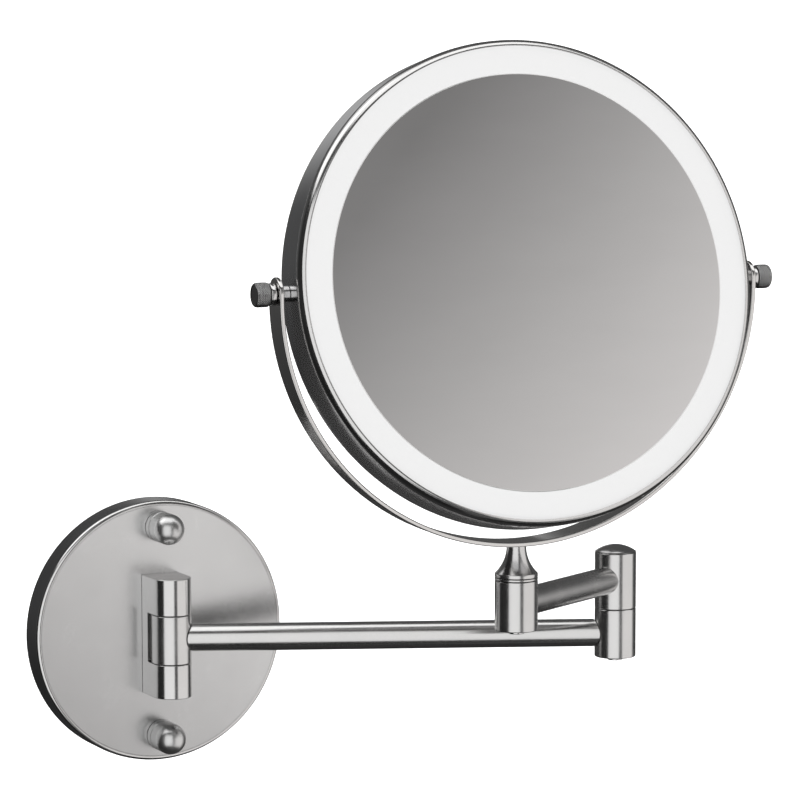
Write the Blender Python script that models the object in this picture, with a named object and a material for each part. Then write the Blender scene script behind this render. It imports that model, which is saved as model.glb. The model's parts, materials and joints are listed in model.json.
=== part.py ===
"""Extendable shaving mirror: wall mount, two-piece swing arm, yoke and lit mirror head.

Row frame: origin at the centre of the wall mount's back, on the wall plane. +Y points into the
wall, the mirror reaches out along -Y, and +Z is up.
"""

from math import acos, asin, cos, degrees, radians, sin, sqrt, tau

import bmesh
import bpy
from mathutils import Euler, Matrix, Vector

MM = 0.001
GAP = 0.3 * MM                      # clearance between pieces that touch
MERGE = 0.002 * MM                  # points closer than this are one point
ROUND_LARGE = 60                    # sides of the head's and the cover's circles
ROUND_BARREL = 24                   # sides of the hinge and elbow barrels
ROUND_SMALL = 12                    # sides of screws, pins and washers

# Wall mount
COVER_RADIUS = 60.0 * MM
COVER_DEPTH = 13.85 * MM
COVER_WALL = 1.2 * MM
COVER_EDGE = 1.2 * MM
PLATE_RADIUS = 56.0 * MM
PLATE_THICKNESS = 2.5 * MM
PLATE_SLOT_SPACING = 70.0 * MM      # between the two wall screws
PLATE_SLOT_LENGTH = 10.0 * MM
PLATE_SLOT_WIDTH = 5.5 * MM
STUD_HEIGHT = 48.2 * MM             # above and below the centre
STUD_RADIUS = 2.5 * MM
STUD_LENGTH = 23.3 * MM
STUD_HEAD_RADIUS = 4.0 * MM
STUD_HEAD_DEPTH = 0.9 * MM
NUT_RADIUS = 7.05 * MM
NUT_LENGTH = 10.8 * MM              # straight part, below its dome
NUT_GROOVE_AT = 3.9 * MM

# Wall hinge
HINGE_DEPTH = 27.25 * MM            # pin axis, out from the wall
KNUCKLE_RADIUS = 9.05 * MM
BRACKET_TOP = 26.63 * MM
BRACKET_BOTTOM = -28.04 * MM
KNUCKLE_TOP = 9.83 * MM             # parting lines of the middle knuckle
KNUCKLE_BOTTOM = -12.43 * MM
WEB_FRONT = 20.5 * MM               # front of the web behind the middle knuckle
HINGE_PIN_RADIUS = 3.0 * MM
HINGE_PIN_HEAD_RADIUS = 3.9 * MM
BRACKET_SCREW_UP = 18.0 * MM
BRACKET_SCREW_DOWN = -20.0 * MM
SMALL_SCREW_RADIUS = 1.6 * MM
SMALL_SCREW_HEAD = 3.4 * MM

# Arms
ARM_TUBE_RADIUS = 6.3 * MM
ARM_TUBE_BORE = 5.1 * MM
ARM1_HEIGHT = -1.03 * MM
ARM1_REACH = 202.24 * MM            # wall hinge to elbow
ARM1_SWING = -21.93                 # degrees about Z from the wall's +X
ARM2_HEIGHT = 23.87 * MM
ARM2_REACH = 83.82 * MM             # elbow to post
ARM2_FOLD = -127.94                 # degrees about Z from the lower arm

# Elbow
ELBOW_RADIUS = 9.4 * MM
ELBOW_BOTTOM = -11.91 * MM
ELBOW_PARTING = 10.59 * MM
ELBOW_TOP = 36.36 * MM
ELBOW_DOME = 3.17 * MM

# Post and its stem
POST_RADIUS = 9.5 * MM
POST_BOTTOM = 12.48 * MM
RING_BOTTOM = 34.83 * MM
RING_TOP = 36.03 * MM
STEM_SHOULDER = 37.97 * MM
STEM_TOP = 49.85 * MM
STEM_NECK_RADIUS = 4.3 * MM
STEM_FLARE_RADIUS = 16.7 * MM
BOLT_RADIUS = 2.5 * MM
BOLT_BORE = 2.8 * MM
BOLT_HEAD_RADIUS = 3.5 * MM
BOLT_HEAD_HEIGHT = 1.5 * MM
BOLT_STANDS_OUT = 0.75 * MM
SPRING_WASHER = 0.5 * MM
WASHER_RADIUS = 6.5 * MM
WASHER_RECESS_RADIUS = 6.8 * MM
WASHER_RECESS = 1.0 * MM

# Yoke
YOKE_TURN = 145.81                  # degrees about Z from the upper arm
PIVOT_HEIGHT = 164.33 * MM
YOKE_RADIUS = 112.2 * MM
YOKE_CENTRE_DROP = 1.9 * MM         # the bend's centre lies below the pivot
YOKE_THICKNESS = 2.0 * MM
YOKE_WIDTH = 14.6 * MM
YOKE_HOLE_RADIUS = 2.8 * MM

# Mirror head, measured from the pivot axis
HEAD_TILT = -11.16                  # degrees about the pivot axis
HEAD_FRONT = 15.4 * MM
HEAD_BACK = 8.9 * MM
BAND_RADIUS = 106.1 * MM
BAND_WALL = 1.2 * MM
BEZEL_RADIUS = 106.3 * MM
BEZEL_DEPTH = 4.2 * MM
BEZEL_LIP = 102.7 * MM              # the light ring shows inside this radius
BEZEL_STEP = 0.5 * MM               # from the bezel's front down to the flange on the glass
MIRROR_BED = 0.3 * MM               # flange in front of the glass's edge
GLASS_RADIUS = 90.7 * MM
GLASS_THICKNESS = 2.8 * MM
RING_THICKNESS = 2.4 * MM
LIGHT_RING_OUTER = 104.3 * MM
REAR_LIP = 98.5 * MM
REAR_GLASS_RADIUS = 101.0 * MM
LED_COUNT = 24
LED_CIRCLE = 97.0 * MM

# Pivots
SLEEVE_RADIUS = 3.6 * MM
STUD_PIVOT_RADIUS = 2.0 * MM
COLLAR_RADIUS = 4.9 * MM
COLLAR_LENGTH = 2.4 * MM
KNOB_RADIUS = 5.35 * MM
KNOB_END = 121.5 * MM               # from the head's centre
KNURL_COUNT = 24
KNURL_DEPTH = 0.22 * MM

# Button and socket, on the band's edge that faces down
BUTTON_ANGLE = -62.0                # degrees round the head from the pivot axis
SOCKET_ANGLE = -76.0
CONTROL_LEVEL = 1.6 * MM            # in front of the pivot axis
BUTTON_RADIUS = 3.2 * MM
BUTTON_TRAVEL = 1.0 * MM
BUTTON_FLANGE = 4.0 * MM
BUTTON_STEM = 1.6 * MM
BUTTON_STEM_LENGTH = 1.5 * MM
SOCKET_WIDTH = 9.0 * MM
SOCKET_HEIGHT = 3.2 * MM
SOCKET_WALL = 0.3 * MM
SOCKET_DEPTH = 7.7 * MM

# Inside the head
TRAY_WALL = 1.4 * MM
TRAY_STEP = 2.9 * MM                # from the middle down to the light board's ledge
TRAY_RADIUS = 102.6 * MM
TRAY_MIDDLE = 88.2 * MM             # radius of the raised middle
BOARD_THICKNESS = 1.2 * MM
CHIP_SIZE = 3.0 * MM
CHIP_HEIGHT = 0.8 * MM
BATTERY_X = (-30.0 * MM, 30.0 * MM)
BATTERY_Y = (-2.0 * MM, 38.0 * MM)
BATTERY_THICKNESS = 6.5 * MM
CONTROL_BOARD_REACH = (62.0 * MM, 84.0 * MM)
CONTROL_BOARD_HALF = 12.0 * MM
CONTROL_BOARD_DROP = 8.0 * MM       # its back, below the room under the tray
SWITCH_SIZE = 6.0 * MM
SWITCH_DEPTH = 5.0 * MM
LEAD_RADIUS = 0.6 * MM
LEAD_HOLE_AT = 93.5 * MM            # where the light's lead goes through the tray

# Colour, roughness and metallic value of each material
FINISHES = {
    "satin_steel": ((0.62, 0.62, 0.61), 0.30, 1.0),
    "polished_steel": ((0.66, 0.65, 0.64), 0.12, 1.0),
    "dark_steel": ((0.40, 0.40, 0.41), 0.22, 1.0),
    "zinc_steel": ((0.55, 0.56, 0.57), 0.40, 1.0),
    "knurled_steel": ((0.36, 0.36, 0.36), 0.45, 1.0),
    "white_nylon": ((0.82, 0.82, 0.80), 0.50, 0.0),
    "mirror_glass": ((0.80, 0.80, 0.79), 0.03, 1.0),
    "frosted_acrylic": ((0.93, 0.93, 0.93), 0.45, 0.0),
    "circuit_board": ((0.85, 0.86, 0.84), 0.45, 0.0),
    "tray_plastic": ((0.70, 0.70, 0.69), 0.50, 0.0),
    "battery_wrap": ((0.20, 0.24, 0.32), 0.40, 0.0),
    "black_plastic": ((0.03, 0.03, 0.03), 0.45, 0.0),
}


# --- Scene and objects ------------------------------------------------------------------------

def clear_scene():
    for obj in list(bpy.data.objects):
        bpy.data.objects.remove(obj, do_unlink=True)


def finish_material(name):
    material = bpy.data.materials.get(name)
    if material is None:
        colour, roughness, metallic = FINISHES[name]
        material = bpy.data.materials.new(name)
        material.use_nodes = True
        shader = material.node_tree.nodes["Principled BSDF"]
        shader.inputs["Base Color"].default_value = (*colour, 1.0)
        shader.inputs["Roughness"].default_value = roughness
        shader.inputs["Metallic"].default_value = metallic
    return material


def own_material(obj, finish):
    """Give the piece its own copy of a finish."""
    material = finish_material(finish).copy()
    material.name = f"{obj.name}_{finish}"
    obj.data.materials.append(material)


def frame(name, parent=None, location=(0.0, 0.0, 0.0), rotation=(0.0, 0.0, 0.0)):
    """An empty that carries pieces: location in metres, rotation in degrees."""
    empty = bpy.data.objects.new(name, None)
    bpy.context.scene.collection.objects.link(empty)
    empty.parent = parent
    empty.location = location
    empty.rotation_euler = [radians(angle) for angle in rotation]
    return empty


def piece(name, bm, finish, parent=None, location=(0.0, 0.0, 0.0), rotation=(0.0, 0.0, 0.0)):
    """Turn a bmesh into a named, smooth-shaded object with its own material."""
    mesh = bpy.data.meshes.new(name)
    bmesh.ops.recalc_face_normals(bm, faces=bm.faces)
    bm.to_mesh(mesh)
    bm.free()
    mesh.shade_smooth()
    mesh.set_sharp_from_angle(angle=radians(30.0))
    obj = bpy.data.objects.new(name, mesh)
    bpy.context.scene.collection.objects.link(obj)
    obj.parent = parent
    obj.location = location
    obj.rotation_euler = [radians(angle) for angle in rotation]
    own_material(obj, finish)
    return obj


def cut(obj, bm, operation="DIFFERENCE", location=(0.0, 0.0, 0.0), rotation=(0.0, 0.0, 0.0)):
    """Cut or join a shape placed in the same frame as the piece."""
    count = len([m for m in obj.modifiers if m.type == "BOOLEAN"])
    mesh = bpy.data.meshes.new(f"{obj.name}_tool_{count}")
    bmesh.ops.recalc_face_normals(bm, faces=bm.faces)
    bm.to_mesh(mesh)
    bm.free()
    tool = bpy.data.objects.new(mesh.name, mesh)
    bpy.context.scene.collection.objects.link(tool)
    tool.parent = obj.parent
    tool.location = location
    tool.rotation_euler = [radians(angle) for angle in rotation]
    tool.hide_render = True
    tool.display_type = "WIRE"
    modifier = obj.modifiers.new(mesh.name, "BOOLEAN")
    modifier.operation = operation
    modifier.solver = "EXACT"
    modifier.object = tool


# --- Shapes -----------------------------------------------------------------------------------

def rounded(corners, steps=2):
    """Points of an outline: each corner is (a, b) or (a, b, fillet radius)."""
    points = []
    for i, corner in enumerate(corners):
        here = Vector(corner[:2])
        fillet = corner[2] if len(corner) > 2 else 0.0
        if fillet <= 0.0:
            points.append(tuple(here))
            continue
        to_last = (Vector(corners[i - 1][:2]) - here).normalized()
        to_next = (Vector(corners[(i + 1) % len(corners)][:2]) - here).normalized()
        half = acos(max(-1.0, min(1.0, to_last.dot(to_next)))) / 2
        centre = here + (to_last + to_next).normalized() * (fillet / sin(half))
        reach = fillet * cos(half) / sin(half)
        first = here + to_last * reach - centre
        turn = first.angle_signed(here + to_next * reach - centre)
        for step in range(steps + 1):
            spoke = first.copy()
            spoke.rotate(Matrix.Rotation(-turn * step / steps, 2))
            points.append(tuple(centre + spoke))
    return points


def arc(centre, radius, start, end, steps):
    """Points on an arc, angles in degrees."""
    angles = (radians(start + (end - start) * i / steps) for i in range(steps + 1))
    return [(centre[0] + radius * cos(a), centre[1] + radius * sin(a)) for a in angles]


def turned(profile, segments):
    """Spin an outline of (radius, height) points about Z; ends on the axis are capped."""
    bm = bmesh.new()
    rim = [(r, z) for r, z in profile if r > 0.0]
    verts = [bm.verts.new((r, 0.0, z)) for r, z in rim]
    edges = [bm.edges.new(pair) for pair in zip(verts, verts[1:])]
    if len(rim) == len(profile):
        edges.append(bm.edges.new((verts[-1], verts[0])))
    bmesh.ops.spin(bm, geom=verts + edges, cent=(0, 0, 0), axis=(0, 0, 1), angle=tau, steps=segments)
    bmesh.ops.remove_doubles(bm, verts=bm.verts, dist=MERGE)
    for tip, near in ((profile[0], rim[0]), (profile[-1], rim[-1])):
        if tip[0] <= 0.0:
            cap_ring(bm, near, tip[1])
    return bm


def cap_ring(bm, near, height):
    """Close an open ring of a turned body, flat or with a point on the axis."""
    edges = [e for e in bm.edges if e.is_boundary
             and all(abs(v.co.z - near[1]) < MERGE for v in e.verts)
             and all(abs(v.co.xy.length - near[0]) < MERGE for v in e.verts)]
    face = bmesh.ops.edgeloop_fill(bm, edges=edges)["faces"]
    if abs(height - near[1]) > MERGE:
        bmesh.ops.poke(bm, faces=face)
        top = min(bm.verts, key=lambda v: v.co.xy.length + abs(v.co.z - near[1]))
        top.co.z = height


def solid_rod(radius, bottom, top, segments=ROUND_SMALL, chamfer=0.0):
    """A round rod, with chamfered ends where asked."""
    side = [(radius, top), (radius, bottom)]
    if chamfer > 0.0:
        side = [(radius - chamfer, top), (radius, top - chamfer),
                (radius, bottom + chamfer), (radius - chamfer, bottom)]
    return turned([(0.0, top)] + side + [(0.0, bottom)], segments)


def ring(inner, outer, bottom, top, segments=ROUND_SMALL):
    return turned([(inner, bottom), (outer, bottom), (outer, top), (inner, top)], segments)


def prism(outline, bottom, top):
    """Extrude a closed outline of (x, y) points along Z."""
    bm = bmesh.new()
    base = bm.faces.new([bm.verts.new((x, y, bottom)) for x, y in outline])
    grown = bmesh.ops.extrude_face_region(bm, geom=[base])
    moved = [v for v in grown["geom"] if isinstance(v, bmesh.types.BMVert)]
    bmesh.ops.translate(bm, verts=moved, vec=(0.0, 0.0, top - bottom))
    return bm


def box(x, y, z):
    """A block from three (low, high) pairs."""
    return prism([(x[0], y[0]), (x[1], y[0]), (x[1], y[1]), (x[0], y[1])], *z)


def slot_outline(length, width, steps=6):
    """A slot along X with round ends."""
    half = (length - width) / 2
    right = arc((half, 0.0), width / 2, -90.0, 90.0, steps)
    return right + arc((-half, 0.0), width / 2, 90.0, 270.0, steps)


def bridged(loops):
    """Skin a closed chain of equally long point loops."""
    bm = bmesh.new()
    rings = [[bm.verts.new(point) for point in loop] for loop in loops]
    for one, two in zip(rings, rings[1:] + rings[:1]):
        for i in range(len(one)):
            j = (i + 1) % len(one)
            bm.faces.new((one[i], one[j], two[j], two[i]))
    return bm


def saddle_tube(reach, first_barrel, last_barrel, segments=ROUND_BARREL, edge=0.35 * MM):
    """A tube along X between two upright barrels, its ends shaped to their walls."""

    def loop(radius, at_start, inset):
        points = []
        for i in range(segments):
            y = radius * cos(tau * i / segments)
            z = radius * sin(tau * i / segments)
            barrel = first_barrel if at_start else last_barrel
            stand_off = sqrt((barrel + GAP) ** 2 - y * y) + inset
            points.append((stand_off if at_start else reach - stand_off, y, z))
        return points

    shoulder = ARM_TUBE_RADIUS - edge
    return bridged([
        loop(ARM_TUBE_BORE, True, 0.0), loop(shoulder, True, 0.0),
        loop(ARM_TUBE_RADIUS, True, edge), loop(ARM_TUBE_RADIUS, False, edge),
        loop(shoulder, False, 0.0), loop(ARM_TUBE_BORE, False, 0.0),
    ])


# --- Wall mount -------------------------------------------------------------------------------

def build_wall_mount():
    out = frame("wall_axis", rotation=(90.0, 0.0, 0.0))     # its +Z points out of the wall
    inner = COVER_RADIUS - COVER_WALL
    face = COVER_DEPTH - COVER_WALL
    cover = piece("wall_cover", turned(rounded([
        (0.0, COVER_DEPTH), (COVER_RADIUS, COVER_DEPTH, COVER_EDGE), (COVER_RADIUS, 0.0),
        (inner, 0.0), (inner, face), (0.0, face)]), ROUND_LARGE), "satin_steel", out)
    plate = piece("mounting_plate", turned([
        (0.0, PLATE_THICKNESS), (PLATE_RADIUS, PLATE_THICKNESS), (PLATE_RADIUS, 0.0),
        (0.0, 0.0)], ROUND_LARGE), "zinc_steel", out)
    for side in (-1, 1):
        slot = prism(slot_outline(PLATE_SLOT_LENGTH, PLATE_SLOT_WIDTH), -GAP, PLATE_THICKNESS + GAP)
        cut(plate, slot, location=(side * PLATE_SLOT_SPACING / 2, 0.0, 0.0))
    for word, y in (("upper", STUD_HEIGHT), ("lower", -STUD_HEIGHT)):
        build_cover_fastener(word, y, out, plate, cover)
    build_hinge_bracket(out, cover)


def build_cover_fastener(word, y, out, plate, cover):
    """A stud clinched in the plate, through the cover, and its long domed nut."""
    hole = STUD_RADIUS + GAP
    recess = STUD_HEAD_DEPTH + GAP
    cut(plate, turned([
        (0.0, PLATE_THICKNESS + GAP), (hole, PLATE_THICKNESS + GAP), (hole, recess),
        (STUD_HEAD_RADIUS + GAP, recess), (STUD_HEAD_RADIUS + GAP, -GAP), (0.0, -GAP)], ROUND_SMALL),
        location=(0.0, y, 0.0))
    cut(cover, solid_rod(hole, COVER_DEPTH / 2, COVER_DEPTH + GAP), location=(0.0, y, 0.0))
    piece(f"stud_{word}", turned([
        (0.0, STUD_LENGTH), (STUD_RADIUS, STUD_LENGTH), (STUD_RADIUS, STUD_HEAD_DEPTH),
        (STUD_HEAD_RADIUS, STUD_HEAD_DEPTH), (STUD_HEAD_RADIUS, 0.0), (0.0, 0.0)], ROUND_SMALL),
        "zinc_steel", out, (0.0, y, 0.0))
    base = COVER_DEPTH + GAP
    rim = base + NUT_LENGTH
    groove = base + NUT_GROOVE_AT
    depth = 0.35 * MM
    dome = arc((0.0, rim), NUT_RADIUS, 90.0, 0.0, 5)
    straight = [(NUT_RADIUS, groove + depth), (NUT_RADIUS - depth, groove),
                (NUT_RADIUS, groove - depth), (NUT_RADIUS, base)]
    bore = [(hole, base), (hole, rim), (0.0, rim)]
    piece(f"cap_nut_{word}", turned(dome + straight + bore, ROUND_BARREL), "polished_steel",
          out, (0.0, y, 0.0))


def build_hinge_bracket(out, cover):
    """Block with a flat back and a round front, slotted for the arm's knuckle."""
    back = -(COVER_DEPTH + GAP)
    nose = arc((0.0, -HINGE_DEPTH), KNUCKLE_RADIUS, 180.0, 360.0, ROUND_SMALL)
    outline = [(-KNUCKLE_RADIUS, back)] + nose + [(KNUCKLE_RADIUS, back)]
    bracket = piece("hinge_bracket", prism(outline, BRACKET_BOTTOM, BRACKET_TOP), "polished_steel")
    edge = bracket.modifiers.new("edge", "BEVEL")
    edge.width = 0.4 * MM
    edge.segments = 1
    edge.limit_method = "ANGLE"
    edge.angle_limit = radians(60.0)
    half_gap = GAP / 2
    low, high = KNUCKLE_BOTTOM - half_gap, KNUCKLE_TOP + half_gap
    wide = KNUCKLE_RADIUS + 2 * MM
    cut(bracket, box((-wide, wide), (-HINGE_DEPTH - wide, -WEB_FRONT), (low, high)))
    cut(bracket, solid_rod(KNUCKLE_RADIUS + GAP, low, high, ROUND_BARREL), location=(0.0, -HINGE_DEPTH, 0.0))
    bore = HINGE_PIN_RADIUS + GAP
    head = HINGE_PIN_HEAD_RADIUS + GAP
    floor = BRACKET_BOTTOM + 1.4 * MM
    pin_top = BRACKET_TOP - 3.0 * MM
    cut(bracket, turned([
        (0.0, pin_top), (bore, pin_top), (bore, floor), (head, floor),
        (head, BRACKET_BOTTOM - 1 * MM), (0.0, BRACKET_BOTTOM - 1 * MM)], ROUND_SMALL),
        location=(0.0, -HINGE_DEPTH, 0.0))
    piece("hinge_pin", turned([
        (0.0, pin_top - GAP), (HINGE_PIN_RADIUS, pin_top - GAP),
        (HINGE_PIN_RADIUS, floor - GAP), (HINGE_PIN_HEAD_RADIUS, floor - GAP),
        (HINGE_PIN_HEAD_RADIUS, BRACKET_BOTTOM), (0.0, BRACKET_BOTTOM)], ROUND_SMALL),
        "zinc_steel", location=(0.0, -HINGE_DEPTH, 0.0))
    under = COVER_DEPTH - COVER_WALL - GAP
    hole = SMALL_SCREW_RADIUS + GAP
    for word, z in (("upper", BRACKET_SCREW_UP), ("lower", BRACKET_SCREW_DOWN)):
        tip = COVER_DEPTH + 7.5 * MM
        cut(bracket, solid_rod(hole, COVER_DEPTH, tip, ROUND_SMALL), location=(0.0, 0.0, z),
            rotation=(90.0, 0.0, 0.0))
        cut(cover, solid_rod(hole, COVER_DEPTH / 2, COVER_DEPTH + GAP, ROUND_SMALL),
            location=(0.0, z, 0.0))
        piece(f"bracket_screw_{word}", turned([
            (0.0, tip - GAP), (SMALL_SCREW_RADIUS, tip - GAP), (SMALL_SCREW_RADIUS, under),
            (SMALL_SCREW_HEAD, under), (SMALL_SCREW_HEAD, under - 2.4 * MM),
            (0.0, under - 2.4 * MM)], ROUND_SMALL), "zinc_steel", out, (0.0, z, 0.0))


# --- Arms -------------------------------------------------------------------------------------

def build_lower_arm():
    arm = frame("wall_hinge_axis", location=(0.0, -HINGE_DEPTH, 0.0),
                rotation=(0.0, 0.0, ARM1_SWING))
    low, high = KNUCKLE_BOTTOM + GAP / 2, KNUCKLE_TOP - GAP / 2
    bore = HINGE_PIN_RADIUS + GAP
    edge = 0.3 * MM
    piece("arm1_knuckle", turned([
        (bore, high - WASHER_RECESS), (WASHER_RECESS_RADIUS, high - WASHER_RECESS),
        (WASHER_RECESS_RADIUS, high), (KNUCKLE_RADIUS - edge, high),
        (KNUCKLE_RADIUS, high - edge), (KNUCKLE_RADIUS, low + edge),
        (KNUCKLE_RADIUS - edge, low), (WASHER_RECESS_RADIUS, low),
        (WASHER_RECESS_RADIUS, low + WASHER_RECESS), (bore, low + WASHER_RECESS)], ROUND_BARREL),
        "polished_steel", arm)
    thick = WASHER_RECESS - GAP
    piece("hinge_washer_upper", ring(bore, WASHER_RADIUS, high - thick, high), "white_nylon", arm)
    piece("hinge_washer_lower", ring(bore, WASHER_RADIUS, low, low + thick), "white_nylon", arm)
    piece("arm1_tube", saddle_tube(ARM1_REACH, KNUCKLE_RADIUS, ELBOW_RADIUS), "polished_steel",
          arm, (0.0, 0.0, ARM1_HEIGHT))
    build_bearing_barrel("arm1_elbow_barrel", ELBOW_RADIUS, ELBOW_BOTTOM,
                         ELBOW_PARTING - GAP / 2, arm, ARM1_REACH)
    return arm


def bolt_levels(bottom):
    """Heights at a barrel's lower end: bolt's foot, head's top, and the recess's floor."""
    foot = bottom - BOLT_STANDS_OUT
    head_top = foot + BOLT_HEAD_HEIGHT
    floor = head_top + SPRING_WASHER + 2 * GAP
    return foot, head_top, floor


def build_bearing_barrel(name, radius, bottom, top, parent, at):
    """A barrel that turns on a bolt, recessed below for its head and above for a washer."""
    floor = bolt_levels(bottom)[2]
    head = BOLT_HEAD_RADIUS + GAP
    edge = 0.3 * MM
    return piece(name, turned([
        (BOLT_BORE, top - WASHER_RECESS), (WASHER_RECESS_RADIUS, top - WASHER_RECESS),
        (WASHER_RECESS_RADIUS, top), (radius - edge, top), (radius, top - edge),
        (radius, bottom + edge), (radius - edge, bottom), (head, bottom), (head, floor),
        (BOLT_BORE, floor)], ROUND_BARREL), "polished_steel", parent, (at, 0.0, 0.0))


def build_bolt(name, bottom, top, parent, at):
    foot, head_top, _ = bolt_levels(bottom)
    edge = 0.35 * MM
    piece(name, turned([
        (0.0, top), (BOLT_RADIUS, top), (BOLT_RADIUS, head_top), (BOLT_HEAD_RADIUS, head_top),
        (BOLT_HEAD_RADIUS, foot + edge), (BOLT_HEAD_RADIUS - edge, foot), (0.0, foot)], ROUND_SMALL),
        "polished_steel", parent, (at, 0.0, 0.0))


def build_bolt_washers(slide_name, spring_name, bottom, top, parent, at):
    """The plastic washer on a barrel's upper recess and the spring washer over the bolt's head."""
    thick = WASHER_RECESS - GAP
    piece(slide_name, ring(BOLT_BORE, WASHER_RADIUS, top - thick, top), "white_nylon",
          parent, (at, 0.0, 0.0))
    base = bolt_levels(bottom)[1] + GAP
    piece(spring_name, ring(BOLT_BORE, BOLT_HEAD_RADIUS, base, base + SPRING_WASHER),
          "zinc_steel", parent, (at, 0.0, 0.0))


def build_upper_arm(lower_arm):
    arm = frame("elbow_axis", lower_arm, (ARM1_REACH, 0.0, 0.0), (0.0, 0.0, ARM2_FOLD))
    low, high = ELBOW_PARTING + GAP / 2, ELBOW_TOP - GAP / 2
    bolt_top = ELBOW_TOP - 6.0 * MM
    plug_radius, plug_depth = 5.6 * MM, 3.0 * MM
    edge = 0.3 * MM
    pocket = high - plug_depth
    piece("arm2_elbow_barrel", turned([
        (0.0, pocket), (plug_radius + GAP, pocket), (plug_radius + GAP, high),
        (ELBOW_RADIUS - edge / 2, high), (ELBOW_RADIUS, high - edge / 2),
        (ELBOW_RADIUS, low + edge), (ELBOW_RADIUS - edge, low), (BOLT_BORE, low),
        (BOLT_BORE, bolt_top + GAP), (0.0, bolt_top + GAP)], ROUND_BARREL), "polished_steel", arm)
    build_elbow_cap(arm, ELBOW_TOP + GAP / 2, plug_radius, pocket + GAP)
    build_bolt("elbow_bolt", ELBOW_BOTTOM, bolt_top, arm, 0.0)
    build_bolt_washers("elbow_washer", "elbow_spring_washer", ELBOW_BOTTOM,
                       ELBOW_PARTING - GAP / 2, arm, 0.0)
    piece("arm2_tube", saddle_tube(ARM2_REACH, ELBOW_RADIUS, POST_RADIUS), "polished_steel",
          arm, (0.0, 0.0, ARM2_HEIGHT))
    build_bearing_barrel("post_barrel", POST_RADIUS, POST_BOTTOM, RING_BOTTOM - GAP / 2, arm,
                         ARM2_REACH)
    return arm


def build_elbow_cap(arm, base, plug_radius, plug_bottom):
    """A shallow dome with a plug that fills the barrel's pocket."""
    dome_radius = (ELBOW_RADIUS ** 2 + ELBOW_DOME ** 2) / (2 * ELBOW_DOME)
    low_angle = 90.0 - degrees(asin(ELBOW_RADIUS / dome_radius))
    dome = arc((0.0, base + ELBOW_DOME - dome_radius), dome_radius, 90.0, low_angle, 5)
    plug = [(plug_radius, base), (plug_radius, plug_bottom), (0.0, plug_bottom)]
    piece("elbow_cap", turned([(0.0, base + ELBOW_DOME)] + dome[1:] + plug, ROUND_BARREL),
          "polished_steel", arm)


# --- Yoke -------------------------------------------------------------------------------------

def build_yoke(upper_arm):
    post = frame("post_axis", upper_arm, (ARM2_REACH, 0.0, 0.0), (0.0, 0.0, YOKE_TURN))
    piece("swivel_ring", ring(BOLT_BORE, POST_RADIUS, RING_BOTTOM + GAP / 2, RING_TOP - GAP / 2,
                              ROUND_BARREL), "polished_steel", post)
    base = RING_TOP + GAP / 2
    bolt_top = STEM_SHOULDER + 4.5 * MM
    centre = (STEM_NECK_RADIUS + STEM_FLARE_RADIUS, STEM_TOP)
    widest = 180.0 + degrees(acos((centre[0] - POST_RADIUS) / STEM_FLARE_RADIUS))
    flare = arc(centre, STEM_FLARE_RADIUS, 180.0, widest, 5)
    piece("swivel_stem", turned(
        [(0.0, STEM_TOP)] + flare + [(POST_RADIUS, base), (BOLT_BORE, base),
                                     (BOLT_BORE, bolt_top + GAP), (0.0, bolt_top + GAP)], ROUND_BARREL),
        "polished_steel", post)
    build_bolt("post_bolt", POST_BOTTOM, bolt_top, post, 0.0)
    build_bolt_washers("swivel_washer", "post_spring_washer", POST_BOTTOM,
                       RING_BOTTOM - GAP / 2, post, 0.0)
    build_strap(post)
    return post


def build_strap(post):
    """A flat strip bent to a half circle, its round ends drilled for the pivot studs."""
    steps = 48
    inner = YOKE_RADIUS - YOKE_THICKNESS
    half = YOKE_WIDTH / 2
    centre = (0.0, 0.0, PIVOT_HEIGHT - YOKE_CENTRE_DROP)
    bm = bmesh.new()
    sections = []
    for x, z in arc((0.0, 0.0), 1.0, 180.0, 360.0, steps):
        corners = ((inner, -half), (YOKE_RADIUS, -half), (YOKE_RADIUS, half), (inner, half))
        sections.append([bm.verts.new((r * x, y, r * z)) for r, y in corners])
    for one, two in zip(sections, sections[1:]):
        for i in range(4):
            j = (i + 1) % 4
            bm.faces.new((one[i], one[j], two[j], two[i]))
    bm.faces.new(sections[0])
    bm.faces.new(sections[-1])
    strap = piece("yoke_strap", bm, "polished_steel", post, centre)
    for side in (-1, 1):
        face = sorted((side * inner, side * YOKE_RADIUS))
        outline = arc((0.0, YOKE_CENTRE_DROP), half, 0.0, 180.0, 12)
        tab = prism(outline + [(-half, -GAP), (half, -GAP)], *face)
        cut(strap, tab, "UNION", centre, (90.0, 0.0, 90.0))
    reach = YOKE_RADIUS + 1 * MM
    hole = solid_rod(YOKE_HOLE_RADIUS, -reach, reach, ROUND_SMALL)
    cut(strap, hole, location=(0.0, 0.0, PIVOT_HEIGHT), rotation=(0.0, 90.0, 0.0))


# --- Mirror head ------------------------------------------------------------------------------

def build_head(post):
    """Everything that tilts: its frame's +Z points out of the mirror's front."""
    tilt = frame("tilt_axis", post, (0.0, 0.0, PIVOT_HEIGHT), (HEAD_TILT, 0.0, 0.0))
    head = frame("head_axis", tilt, rotation=(90.0, 0.0, 0.0))
    band = build_housing(head)
    build_front(head)
    build_rear(head)
    build_electrics(head, band)
    for word, side in (("left", -1), ("right", 1)):
        build_pivot(word, side, head, band)


def build_housing(head):
    inner = BAND_RADIUS - BAND_WALL
    top = HEAD_FRONT - BEZEL_DEPTH - GAP
    bottom = -HEAD_BACK + BEZEL_DEPTH + GAP
    return piece("housing_band", ring(inner, BAND_RADIUS, bottom, top, ROUND_LARGE),
                 "dark_steel", head)


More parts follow.
